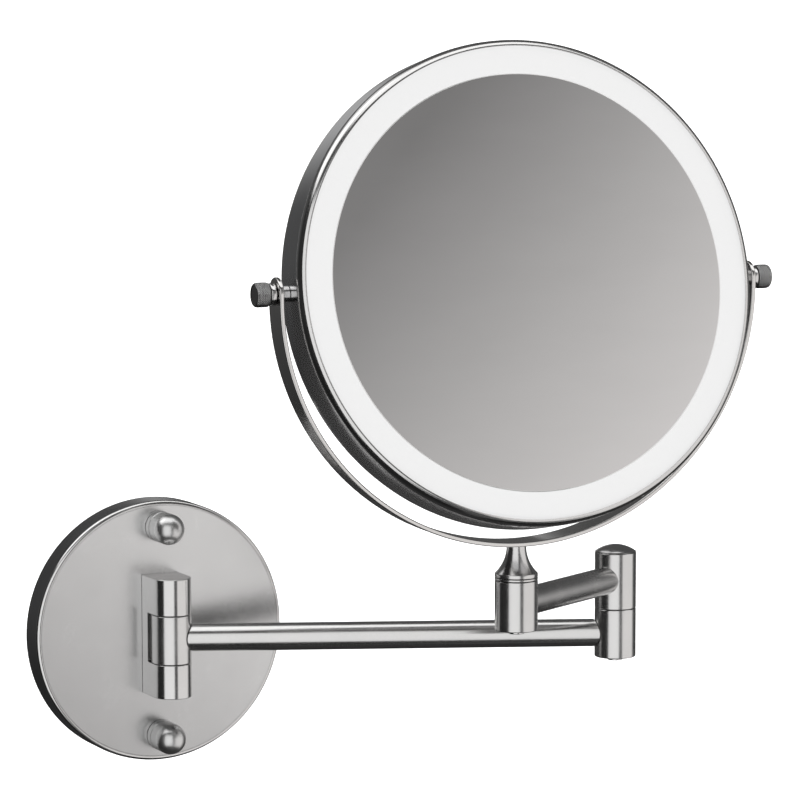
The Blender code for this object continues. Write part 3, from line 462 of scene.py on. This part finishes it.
KNUCKLE_RADIUS = 9.05
PIN_BORE = 3.3
PIN_HEAD_BORE = 4.2
UPPER_KNUCKLE = (9.98, 26.63)
LOWER_KNUCKLE = (-28.04, -12.58)
WEB_HALF = KNUCKLE_RADIUS - 0.02
WEB_FRONT = -20.5
WEB_BACK = -MOUNT_BACK - 0.02

nose = arc((0.0, HINGE_OUT), KNUCKLE_RADIUS, 180.0, 360.0, 48)
outline = [(-KNUCKLE_RADIUS, -MOUNT_BACK)] + nose + [(KNUCKLE_RADIUS, -MOUNT_BACK)]
blocks = [skin(plate(outline, low, high, 0.4, 4), False)
          for low, high in (UPPER_KNUCKLE, LOWER_KNUCKLE)]
web = skin([[(-WEB_HALF, WEB_FRONT, z), (WEB_HALF, WEB_FRONT, z),
             (WEB_HALF, WEB_BACK, z), (-WEB_HALF, WEB_BACK, z)] for z in (-13.2, 10.6)], False)
bores = [moved(rod(KNUCKLE_RADIUS + GAP, LOWER_KNUCKLE[1], UPPER_KNUCKLE[0], 96), y=HINGE_OUT),
         moved(lathe([(0.0, 23.63), (PIN_BORE, 23.63), (PIN_BORE, -26.64),
                      (PIN_HEAD_BORE, -26.64), (PIN_HEAD_BORE, -29.0), (0.0, -29.0)], 64),
               y=HINGE_OUT)]
bores += [moved(rod(SCREW_HOLE, 13.0, 21.35, 48), z=z,
                rotation=Matrix.Rotation(radians(90.0), 4, "X")) for z in SCREWS]
bracket = joined("UNION", web, *blocks)
piece("hinge_bracket_fine", joined("DIFFERENCE", bracket, *bores), WORLD, ["hinge_bracket"],
      "polished_steel", POLISHED)

# --- Arms -------------------------------------------------------------------------------------

ELBOW_RADIUS = 9.4
POST_RADIUS = 9.5
BOLT_BORE = 2.8
WASHER_RECESS = 6.8    # radius of the recesses that hold the washers
RECESS_DEPTH = 1.0


def saddle_tube(reach, first, last, outer=6.3, bore=5.1, edge=0.35, segments=128):
    """A tube along X, its ends cut to fit round barrels of the radii first and last."""

    def loop(radius, at_start, inset):
        points = []
        for i in range(segments):
            y, z = radius * cos(tau * i / segments), radius * sin(tau * i / segments)
            stand_off = sqrt(((first if at_start else last) + GAP) ** 2 - y * y) + inset
            points.append((stand_off if at_start else reach - stand_off, y, z))
        return points

    steps = [radians(90.0 * i / 4) for i in range(5)]
    start = [loop(outer - edge * (1.0 - sin(a)), True, edge * (1.0 - cos(a))) for a in steps]
    end = [loop(outer - edge * (1.0 - sin(a)), False, edge * (1.0 - cos(a))) for a in reversed(steps)]
    middle = []
    for i in range(1, 12):
        part = i / 12
        middle.append([tuple(Vector(p).lerp(Vector(q), part)) for p, q in zip(start[-1], end[0])])
    return skin([loop(bore, True, 0.0)] + start + middle + end + [loop(bore, False, 0.0)])


def bearing_barrel(radius, low, high, floor):
    """A barrel with a washer recess on top and a bore for a bolt's head below."""
    return lathe(rounded([
        (BOLT_BORE, high - RECESS_DEPTH), (WASHER_RECESS, high - RECESS_DEPTH),
        (WASHER_RECESS, high), (radius, high, 0.35), (radius, low, 0.5),
        (3.8, low, 0.15), (3.8, floor), (BOLT_BORE, floor)], 4), 160)


def bolt(foot, top):
    """A bolt along Z with its head at the foot."""
    return lathe(rounded([
        (0.0, top), (2.5, top, 0.3), (2.5, foot + 1.5), (3.5, foot + 1.5, 0.15), (3.5, foot, 0.3),
        (0.0, foot)], 4), 64)


KNUCKLE_TOP = UPPER_KNUCKLE[0] - GAP
KNUCKLE_FOOT = LOWER_KNUCKLE[1] + GAP
piece("arm1_knuckle_fine", lathe(rounded([
    (PIN_BORE, KNUCKLE_TOP - RECESS_DEPTH), (WASHER_RECESS, KNUCKLE_TOP - RECESS_DEPTH),
    (WASHER_RECESS, KNUCKLE_TOP), (KNUCKLE_RADIUS, KNUCKLE_TOP, 0.35),
    (KNUCKLE_RADIUS, KNUCKLE_FOOT, 0.35), (WASHER_RECESS, KNUCKLE_FOOT),
    (WASHER_RECESS, KNUCKLE_FOOT + RECESS_DEPTH), (PIN_BORE, KNUCKLE_FOOT + RECESS_DEPTH)], 4),
    160), HINGE, ["arm1_knuckle"], "polished_steel", BARREL)
piece("arm1_tube_fine", saddle_tube(ARM1_REACH, KNUCKLE_RADIUS, ELBOW_RADIUS),
      HINGE @ shift(0.0, 0.0, -1.03), ["arm1_tube"], "polished_steel", BARREL)

ELBOW_SPLIT = 10.44    # where the elbow's lower barrel ends
piece("arm1_elbow_barrel_fine", bearing_barrel(ELBOW_RADIUS, -11.91, ELBOW_SPLIT, -10.06),
      HINGE @ shift(ARM1_REACH, 0.0, 0.0), ["arm1_elbow_barrel"], "polished_steel", BARREL)
ELBOW_TOP = 36.21
CAP_SEAT = ELBOW_TOP - 3.0
piece("arm2_elbow_barrel_fine", lathe(rounded([
    (0.0, CAP_SEAT), (5.9, CAP_SEAT), (5.9, ELBOW_TOP), (ELBOW_RADIUS, ELBOW_TOP, 0.3),
    (ELBOW_RADIUS, ELBOW_SPLIT + GAP, 0.35), (BOLT_BORE, ELBOW_SPLIT + GAP),
    (BOLT_BORE, 30.66), (0.0, 30.66)], 4), 160), ELBOW, ["arm2_elbow_barrel"],
    "polished_steel", BARREL)
dome = arc((0.0, 24.158), 15.522, 90.0, 53.4, 16)
piece("elbow_cap_fine", lathe(dome + [
    (9.36, 36.60), (9.39, 36.56), (9.36, ELBOW_TOP + GAP), (5.6, ELBOW_TOP + GAP),
    (5.6, CAP_SEAT + GAP), (0.0, CAP_SEAT + GAP)], 160), ELBOW, ["elbow_cap"],
    "polished_steel", POLISHED)
piece("elbow_bolt_fine", bolt(-13.6, 30.36), ELBOW, ["elbow_bolt"], "polished_steel", POLISHED)
piece("arm2_tube_fine", saddle_tube(ARM2_REACH, ELBOW_RADIUS, POST_RADIUS),
      ELBOW @ shift(0.0, 0.0, 23.87), ["arm2_tube"], "polished_steel", SOFT)
POST_TOP = 34.68
piece("post_barrel_fine", bearing_barrel(POST_RADIUS, 12.48, POST_TOP, 14.33),
      ELBOW @ shift(ARM2_REACH, 0.0, 0.0), ["post_barrel"], "polished_steel", BARREL)

# --- Yoke -------------------------------------------------------------------------------------

RING_FOOT = POST_TOP + GAP
RING_TOP = RING_FOOT + 0.9
STEM_FOOT = RING_TOP + GAP
STEM_TOP = 50.15
piece("swivel_ring_fine", lathe(rounded([
    (BOLT_BORE, RING_FOOT), (POST_RADIUS, RING_FOOT, 0.2), (POST_RADIUS, RING_TOP, 0.2),
    (BOLT_BORE, RING_TOP)], 4), 160), POST, ["swivel_ring"], "polished_steel", BARREL)
flare = arc((21.0, 49.85), 16.7, 180.0, 224.7, 28)
piece("swivel_stem_fine", lathe(rounded([(0.0, STEM_TOP), (4.3, STEM_TOP)] + flare + [
    (POST_RADIUS, 37.74, 0.8), (POST_RADIUS, STEM_FOOT, 0.25), (BOLT_BORE, STEM_FOOT),
    (BOLT_BORE, 42.77), (0.0, 42.77)]), 160), POST, ["swivel_stem"], "polished_steel", BARREL)
piece("post_bolt_fine", bolt(10.8, 42.47), POST, ["post_bolt"], "polished_steel", POLISHED)


STRAP_DROP = 1.9    # straight part of each end, below the pivots


def strap(inner=110.2, thick=2.0, width=14.6, drop=STRAP_DROP, hole=2.8, steps=144):
    """A flat strip with round ends, drilled, then bent to a half circle."""
    bend = inner + thick / 2
    quarter = bend * pi / 2
    end = quarter + drop
    outline = slot_outline(2 * end + width, width, 32)
    strip = skin(plate(outline, 0.0, thick, 0.55, 5), False)
    holes = [moved(rod(hole, -1.0, thick + 1.0, 64), x=side * end) for side in (-1, 1)]
    bm = joined("DIFFERENCE", strip, *holes)
    for i in range(steps + 1):
        bmesh.ops.bisect_plane(bm, geom=bm.verts[:] + bm.edges[:] + bm.faces[:],
                               plane_co=(quarter * (2 * i / steps - 1), 0.0, 0.0),
                               plane_no=(1.0, 0.0, 0.0), dist=0.0001)
    for vert in bm.verts:
        along, across, out = vert.co
        r = inner + out
        if abs(along) > quarter:
            vert.co = (r if along > 0.0 else -r, across, abs(along) - quarter)
        else:
            angle = along / bend - pi / 2
            vert.co = (r * cos(angle), across, r * sin(angle))
    return bm


piece("yoke_strap_fine", strap(), POST @ shift(0.0, 0.0, PIVOT_HEIGHT - STRAP_DROP), ["yoke_strap"],
      "polished_steel", STRAP)

# --- Mirror head ------------------------------------------------------------------------------

FRONT = 15.4             # the bezel's crest, ahead of the tilt axis
GLASS_FACE = 14.3
BUTTON_ANGLE = -62.0
SOCKET_ANGLE = -76.0
CONTROL_LEVEL = 1.6      # the button and the socket, ahead of the tilt axis
BUTTON_SPOT = HEAD @ turn(BUTTON_ANGLE, "Z") @ shift(0.0, 0.0, CONTROL_LEVEL) @ turn(90.0, "Y")
SOCKET_SPOT = (HEAD @ turn(SOCKET_ANGLE, "Z") @ shift(0.0, 0.0, CONTROL_LEVEL)
               @ turn(90.0, "Z") @ turn(90.0, "X"))
BAND_INNER = 104.9
BAND_OUTER = 106.1
BEZEL_INNER = 103.7
BEZEL_SPIGOT = 104.6
BEZEL_OUTER = 106.05
STUD_BORE = 2.3


def sideways(bm, angle, level=0.0, first=Matrix.Identity(4)):
    """Point a +Z shape outwards at an angle round the head."""
    bm.transform(Matrix.Rotation(radians(angle), 4, "Z") @ Matrix.Translation((0.0, 0.0, level))
                 @ Matrix.Rotation(radians(90.0), 4, "Y") @ first)
    return bm


band = lathe([(BAND_INNER, -4.6), (BAND_OUTER, -4.6), (BAND_OUTER, 11.12), (BAND_INNER, 11.12)], 256)
socket_hole = skin([[(x, y, z) for x, y in slot_outline(9.6, 3.8)] for z in (103.0, 108.0)], False)
band = joined("DIFFERENCE", band, sideways(rod(STUD_BORE, 100.0, 108.0), 0.0),
              sideways(rod(STUD_BORE, 100.0, 108.0), 180.0),
              sideways(rod(3.5, 103.0, 108.0), BUTTON_ANGLE, CONTROL_LEVEL),
              sideways(socket_hole, SOCKET_ANGLE, CONTROL_LEVEL,
                       Matrix.Rotation(radians(90.0), 4, "Z")))
piece("housing_band_fine", band, HEAD, ["housing_band"], "dark_steel", DRUM)

# The crown rolls over in bends of (radius, steepness at its start and end, then a flat's width).
CROWN_BENDS = ((4.7, 90.0, 44.0, 0.0), (1.6, 44.0, 34.0, 0.5), (1.6, 34.0, 24.0, 0.0),
               (0.5, 24.0, 12.0, 0.58))
crown = [(BEZEL_OUTER, FRONT - 4.2)]
radius, height = BEZEL_OUTER, FRONT - 4.19
for bend, start, end, flat in CROWN_BENDS:
    for i in range(8):
        a = radians(start + (end - start) * i / 8)
        b = radians(start + (end - start) * (i + 1) / 8)
        radius -= bend * (sin(a) - sin(b))
        height += bend * (cos(b) - cos(a))
        crown.append((radius, height))
    if flat:
        radius -= flat
        height += flat * sin(radians(end)) / cos(radians(end))
        crown.append((radius, height))
LIP = FRONT - 0.8
BEZEL_BACK = FRONT - 5.8
bezel = [(BEZEL_SPIGOT, BEZEL_BACK), (BEZEL_SPIGOT, FRONT - 4.2)] + crown[:-1]
bezel += rounded([crown[-2], (radius, height, 0.12), (radius - 0.05, LIP), (BEZEL_INNER, LIP),
                  (BEZEL_INNER, BEZEL_BACK)], 4)[1:]
piece("front_bezel_fine", lathe(bezel, 256), HEAD, ["front_bezel"], "dark_steel", POLISHED)
piece("light_ring_fine", lathe(rounded([
    (91.0, 11.9), (103.4, 11.9), (103.4, GLASS_FACE), (91.0, GLASS_FACE, 0.1)], 3), 256), HEAD,
    ["light_ring"], "frosted_acrylic", LIT)
piece("front_mirror_fine", lathe(rounded([
    (0.0, GLASS_FACE), (90.7, GLASS_FACE, 0.12), (90.7, 11.5), (0.0, 11.5)], 3), 256), HEAD,
    ["front_mirror"], "mirror_glass", GLASS)
REAR = -8.9              # the rear bezel's outermost face
piece("rear_bezel_fine", lathe(rounded([
    (BEZEL_SPIGOT, -3.1), (BEZEL_SPIGOT, -4.7), (BAND_OUTER, -4.7), (BAND_OUTER, REAR, 1.6),
    (99.9, REAR, 0.5), (98.5, REAR + 0.5, 0.2), (98.5, REAR + 0.8), (BEZEL_INNER, REAR + 0.8),
    (BEZEL_INNER, -3.1)], 8), 256), HEAD, ["rear_bezel"], "dark_steel", POLISHED)

DISH_RADIUS = 101.0
DISH_EDGE = -7.8
DISH_DEPTH = 1.0
DISH_GLASS = 1.4
dish = [(DISH_RADIUS * i / 24, DISH_EDGE + DISH_DEPTH - (i / 24) ** 2) for i in range(25)]
piece("rear_mirror_fine", lathe(dish + [(r, z + DISH_GLASS) for r, z in reversed(dish)], 256), HEAD,
      ["rear_mirror"], "mirror_glass", GLASS)


def knob(count=36, rows=28):
    """A knob with a diamond knurl between a plain shoulder and a shallow recess in its end."""
    radius, low, high, depth = 5.35, 115.184, 121.5, 0.24
    bore, bore_floor = STUD_BORE, 118.8
    around = count * 4
    pitch = tau * radius / count
    loops = []

    def plain(r, z):
        loops.append([(r * cos(tau * i / around), r * sin(tau * i / around), z)
                      for i in range(around)])

    plain(bore, bore_floor)
    plain(bore, low)
    plain(radius - 0.75, low)
    plain(radius - 0.42, low + 0.1)
    start, end = low + 0.4, high - 0.55
    for row in range(rows + 1):
        z = start + (end - start) * row / rows
        fade = min(1.0, 4.0 * min(row, rows - row) / rows + 0.25)
        loop = []
        for i in range(around):
            one = (i / 4.0 + (z - start) / pitch) % 1.0
            two = (i / 4.0 - (z - start) / pitch) % 1.0
            cutting = max(abs(one - 0.5), abs(two - 0.5)) * 2.0
            r = radius - depth * max(0.0, cutting - 0.35) / 0.65 - 0.2 * (1.0 - fade)
            loop.append((r * cos(tau * i / around), r * sin(tau * i / around), z))
        loops.append(loop)
    plain(radius - 0.40, high - 0.25)
    plain(radius - 0.65, high - 0.03)
    plain(radius - 0.95, high)
    plain(radius - 1.5, high)
    plain(radius - 1.7, high - 0.15)
    return skin(loops, False)


def washer(radius, start, end, edge, steps):
    """A turned ring on a pivot stud, with rounded outer edges."""
    return lathe(rounded([(STUD_BORE, start), (radius, start, edge), (radius, end, edge),
                          (STUD_BORE, end)], steps), 96)


for word, side in (("left", -1), ("right", 1)):
    out = HEAD @ turn(90.0 * side, "Y")
    piece(f"pivot_sleeve_{word}_fine", washer(3.6, 106.2, 110.0, 0.2, 3), out,
          [f"pivot_sleeve_{word}"], "polished_steel", BARREL)
    piece(f"knob_collar_{word}_fine", washer(4.9, 112.484, 114.884, 0.5, 5), out,
          [f"knob_collar_{word}"], "polished_steel", POLISHED)
    # The knurled steel carries painted shade for the knurl's grooves.
    piece(f"clamp_knob_{word}_fine", knob(), out, [f"clamp_knob_{word}"], "knurled_steel", KNURL_PAINTED_SHADE)

button = lathe(rounded([
    (0.0, 107.5), (3.2, 107.5, 0.45), (3.2, 104.6), (4.0, 104.6), (4.0, 103.7), (1.6, 103.7),
    (1.6, 102.2), (0.0, 102.2)]), 96)
piece("power_button_fine", button, BUTTON_SPOT, ["power_button"], "polished_steel", POLISHED)

# The socket's shell as slots of (length, width, distance from the head's centre).
shell = [(9.0, 3.2, 98.1), (9.0, 3.2, 105.72), (8.9, 3.1, 105.8), (8.5, 2.7, 105.8),
         (8.4, 2.6, 105.72), (8.4, 2.6, 99.1)]
piece("charging_socket_fine", skin([[(x, y, z) for x, y in slot_outline(length, width)]
                                    for length, width, z in shell], False), SOCKET_SPOT,
      ["charging_socket"], "zinc_steel", ZINC)

# --- Inner pieces that stay as the CAD has them -------------------------------------------------

KEPT = {
    ZINC: ["mounting_plate", "stud_upper", "stud_lower", "bracket_screw_upper",
           "bracket_screw_lower", "hinge_pin", "elbow_spring_washer", "post_spring_washer",
           "pivot_insert_left", "pivot_insert_right", "pivot_stud_left", "pivot_stud_right"],
    NYLON: ["hinge_washer_upper", "hinge_washer_lower", "elbow_washer", "swivel_washer"],
    BOARD: ["led_board", "control_board"],
    TRAY: ["inner_tray"],
    WRAP: ["battery_pack"],
    BLACK: ["switch_body", "battery_lead", "light_lead"],
}
for material, names in KEPT.items():
    for name in names:
        frame["nodes"][name].data.materials.clear()
        frame["nodes"][name].data.materials.append(material)

# --- Studio -----------------------------------------------------------------------------------

scene = bpy.context.scene
scene.view_settings.view_transform = "Standard"


def floor_material():
    """A pale matt floor that glows a little, so that it stays even."""
    n = Nodes("pale_floor")
    n.link(n.mix(n.spread(n.noise(3.0), 0.0, 1.0), (0.93, 0.93, 0.93), (0.95, 0.95, 0.95)),
           n.shader.inputs["Base Color"])
    n.shader.inputs["Roughness"].default_value = 0.9
    n.shader.inputs["Specular IOR Level"].default_value = 0.0
    n.shader.inputs["Emission Color"].default_value = (1.0, 1.0, 1.0, 1.0)
    n.shader.inputs["Emission Strength"].default_value = 0.9
    return n.material


FLOOR_HALF = 40.0
FLOOR_HEIGHT = -0.3
ground = bpy.data.meshes.new("floor")
ground.from_pydata([(x * FLOOR_HALF, y * FLOOR_HALF, FLOOR_HEIGHT)
                    for x, y in ((-1, -1), (1, -1), (1, 1), (-1, 1))], [], [(0, 1, 2, 3)])
floor = bpy.data.objects.new("floor", ground)
scene.collection.objects.link(floor)
ground.materials.append(floor_material())
floor.visible_glossy = False
floor.visible_shadow = False


class Sky:
    """The studio round the object, as soft-edged white cards in a dark room."""

    def __init__(self):
        self.world = bpy.data.worlds.new("studio")
        self.world.use_nodes = True
        self.tree = self.world.node_tree
        self.tree.nodes.clear()
        self.direction = self.tree.nodes.new("ShaderNodeTexCoord").outputs["Generated"]

    def put(self, value, socket):
        """Set a socket to a number, or link another socket to it."""
        if isinstance(value, (int, float)):
            socket.default_value = value
        else:
            self.tree.links.new(value, socket)

    def math(self, operation, one, two=None):
        node = self.tree.nodes.new("ShaderNodeMath")
        node.operation = operation
        self.put(one, node.inputs[0])
        if two is not None:
            self.put(two, node.inputs[1])
        return node.outputs[0]

    def along(self, vector):
        """How far the direction looked in points along a vector."""
        node = self.tree.nodes.new("ShaderNodeVectorMath")
        node.operation = "DOT_PRODUCT"
        self.tree.links.new(self.direction, node.inputs[0])
        node.inputs[1].default_value = vector
        return node.outputs["Value"]

    def ramp(self, value, start, end, low=0.0, high=1.0, smooth=True):
        node = self.tree.nodes.new("ShaderNodeMapRange")
        node.interpolation_type = "SMOOTHSTEP" if smooth else "LINEAR"
        self.put(value, node.inputs["Value"])
        node.inputs["From Min"].default_value = start
        node.inputs["From Max"].default_value = end
        node.inputs["To Min"].default_value = low
        node.inputs["To Max"].default_value = high
        return node.outputs["Result"]

    def window(self, value, start, end, soft):
        """1 between start and end, 0 outside, with soft edges."""
        rise = self.ramp(value, start - soft, start + soft)
        fall = self.ramp(value, end - soft, end + soft, 1.0, 0.0)
        return self.math("MULTIPLY", rise, fall)


# Azimuth grows to the right of the camera's side, elevation upwards, both in degrees.
CAMERA_SIDE = (-0.4324, -0.9017, 0.0)
CAMERA_RIGHT = (0.9017, -0.4324, 0.0)
ROOM_LIGHT = 0.01
FRONT_LIGHT = 1.06
SIDE_LIGHT = 0.92
TOP_LIGHT = 1.4
HIGH_LIGHT = 0.9
GLOW_LIGHT = 0.42
GAP_LIGHT = 0.07

sky = Sky()
ahead = sky.along(CAMERA_SIDE)
right = sky.along(CAMERA_RIGHT)
upward = sky.along((0.0, 0.0, 1.0))
azimuth = sky.math("DEGREES", sky.math("ARCTAN2", right, ahead))
elevation = sky.math("DEGREES", sky.math("ARCSINE", upward))

# A card behind the camera.
front = sky.math("MULTIPLY", sky.window(azimuth, -41.0, 19.0, 1.5),
                 sky.window(elevation, -41.0, 38.0, 3.0))

# A card on the right, dimmed along a slant: the glass shows it as its gradient.
slant = sky.math("SUBTRACT", sky.math("SUBTRACT", azimuth, 44.5),
                 sky.math("SUBTRACT", elevation, 18.0))
fade = sky.ramp(slant, 0.3, 12.3, 0.158, 1.0, False)
low_part = sky.window(elevation, -46.0, 8.0, 3.0)
side_width = sky.math("MULTIPLY", sky.ramp(azimuth, 35.5, 39.0),
                      sky.ramp(azimuth, 102.0, 117.0, 1.0, 0.0))
side = sky.math("MULTIPLY", sky.math("MAXIMUM", fade, low_part), side_width)
side = sky.math("MULTIPLY", side, sky.window(elevation, -46.0, 40.0, 3.0))

# A card overhead, straight-edged on a level ceiling.
safe = sky.math("MAXIMUM", upward, 0.05)
top = sky.math("MULTIPLY", sky.window(sky.math("DIVIDE", ahead, safe), -0.27, 0.52, 0.03),
               sky.window(sky.math("DIVIDE", right, safe), -1.3, 1.3, 0.05))
top = sky.math("MULTIPLY", top, sky.ramp(elevation, 20.0, 30.0))

# The dark back of the room with a small glow, and a high card at its left.
behind = sky.ramp(sky.math("ABSOLUTE", azimuth), 96.0, 118.0, 0.015, 0.07)
behind = sky.math("MULTIPLY", behind, sky.ramp(elevation, -22.0, 0.0, 0.35, 1.15, False))
glow = sky.math("MULTIPLY", sky.ramp(azimuth, -147.0, -165.0),
                sky.window(elevation, 5.0, 14.0, 3.0))
high = sky.math("MULTIPLY", sky.window(azimuth, -150.0, -85.0, 4.0),
                sky.window(elevation, 36.0, 70.0, 3.0))
gap = sky.window(azimuth, 15.0, 45.0, 3.0)

total = sky.math("ADD", behind, ROOM_LIGHT)
for card, strength in ((front, FRONT_LIGHT), (side, SIDE_LIGHT), (top, TOP_LIGHT),
                       (high, HIGH_LIGHT), (glow, GLOW_LIGHT), (gap, GAP_LIGHT)):
    total = sky.math("ADD", total, sky.math("MULTIPLY", card, strength))

tint = sky.tree.nodes.new("ShaderNodeMix")
tint.data_type = "RGBA"
tint.inputs["A"].default_value = (1.0, 1.0, 1.0, 1.0)
tint.inputs["B"].default_value = (1.0, 0.98, 0.97, 1.0)
sky.put(side, tint.inputs["Factor"])
studio = sky.tree.nodes.new("ShaderNodeBackground")
sky.tree.links.new(tint.outputs["Result"], studio.inputs["Color"])
sky.tree.links.new(total, studio.inputs["Strength"])
backdrop = sky.tree.nodes.new("ShaderNodeBackground")
backdrop.inputs["Color"].default_value = (1.0, 1.0, 1.0, 1.0)
choose = sky.tree.nodes.new("ShaderNodeMixShader")
seen = sky.tree.nodes.new("ShaderNodeLightPath")
sky.tree.links.new(seen.outputs["Is Camera Ray"], choose.inputs[0])
sky.tree.links.new(studio.outputs[0], choose.inputs[1])
sky.tree.links.new(backdrop.outputs[0], choose.inputs[2])
surface = sky.tree.nodes.new("ShaderNodeOutputWorld")
sky.tree.links.new(choose.outputs[0], surface.inputs["Surface"])
scene.world = sky.world

# --- Camera -----------------------------------------------------------------------------------

CAMERA_YAW = 25.62       # degrees from +Y towards +X
CAMERA_PITCH = 6.82      # degrees looking down
CAMERA_ROLL = -0.05
CAMERA_PLACE = (-0.69619, -1.71873, 0.32584)

yaw, pitch, roll = radians(CAMERA_YAW), radians(CAMERA_PITCH), radians(CAMERA_ROLL)
look = Vector((sin(yaw) * cos(pitch), cos(yaw) * cos(pitch), -sin(pitch)))
level = Vector((cos(yaw), -sin(yaw), 0.0))
rise = level.cross(look)
across = level * cos(roll) + rise * sin(roll)
upright = rise * cos(roll) - level * sin(roll)
lens = bpy.data.cameras.new("camera")
lens.lens = 183.7
lens.sensor_width = 36.0
lens.clip_start = 0.05
lens.clip_end = 200.0
camera = bpy.data.objects.new("camera", lens)
scene.collection.objects.link(camera)
camera.matrix_world = Matrix((
    (across.x, upright.x, -look.x, CAMERA_PLACE[0]),
    (across.y, upright.y, -look.y, CAMERA_PLACE[1]),
    (across.z, upright.z, -look.z, CAMERA_PLACE[2]),
    (0.0, 0.0, 0.0, 1.0)))
scene.camera = camera
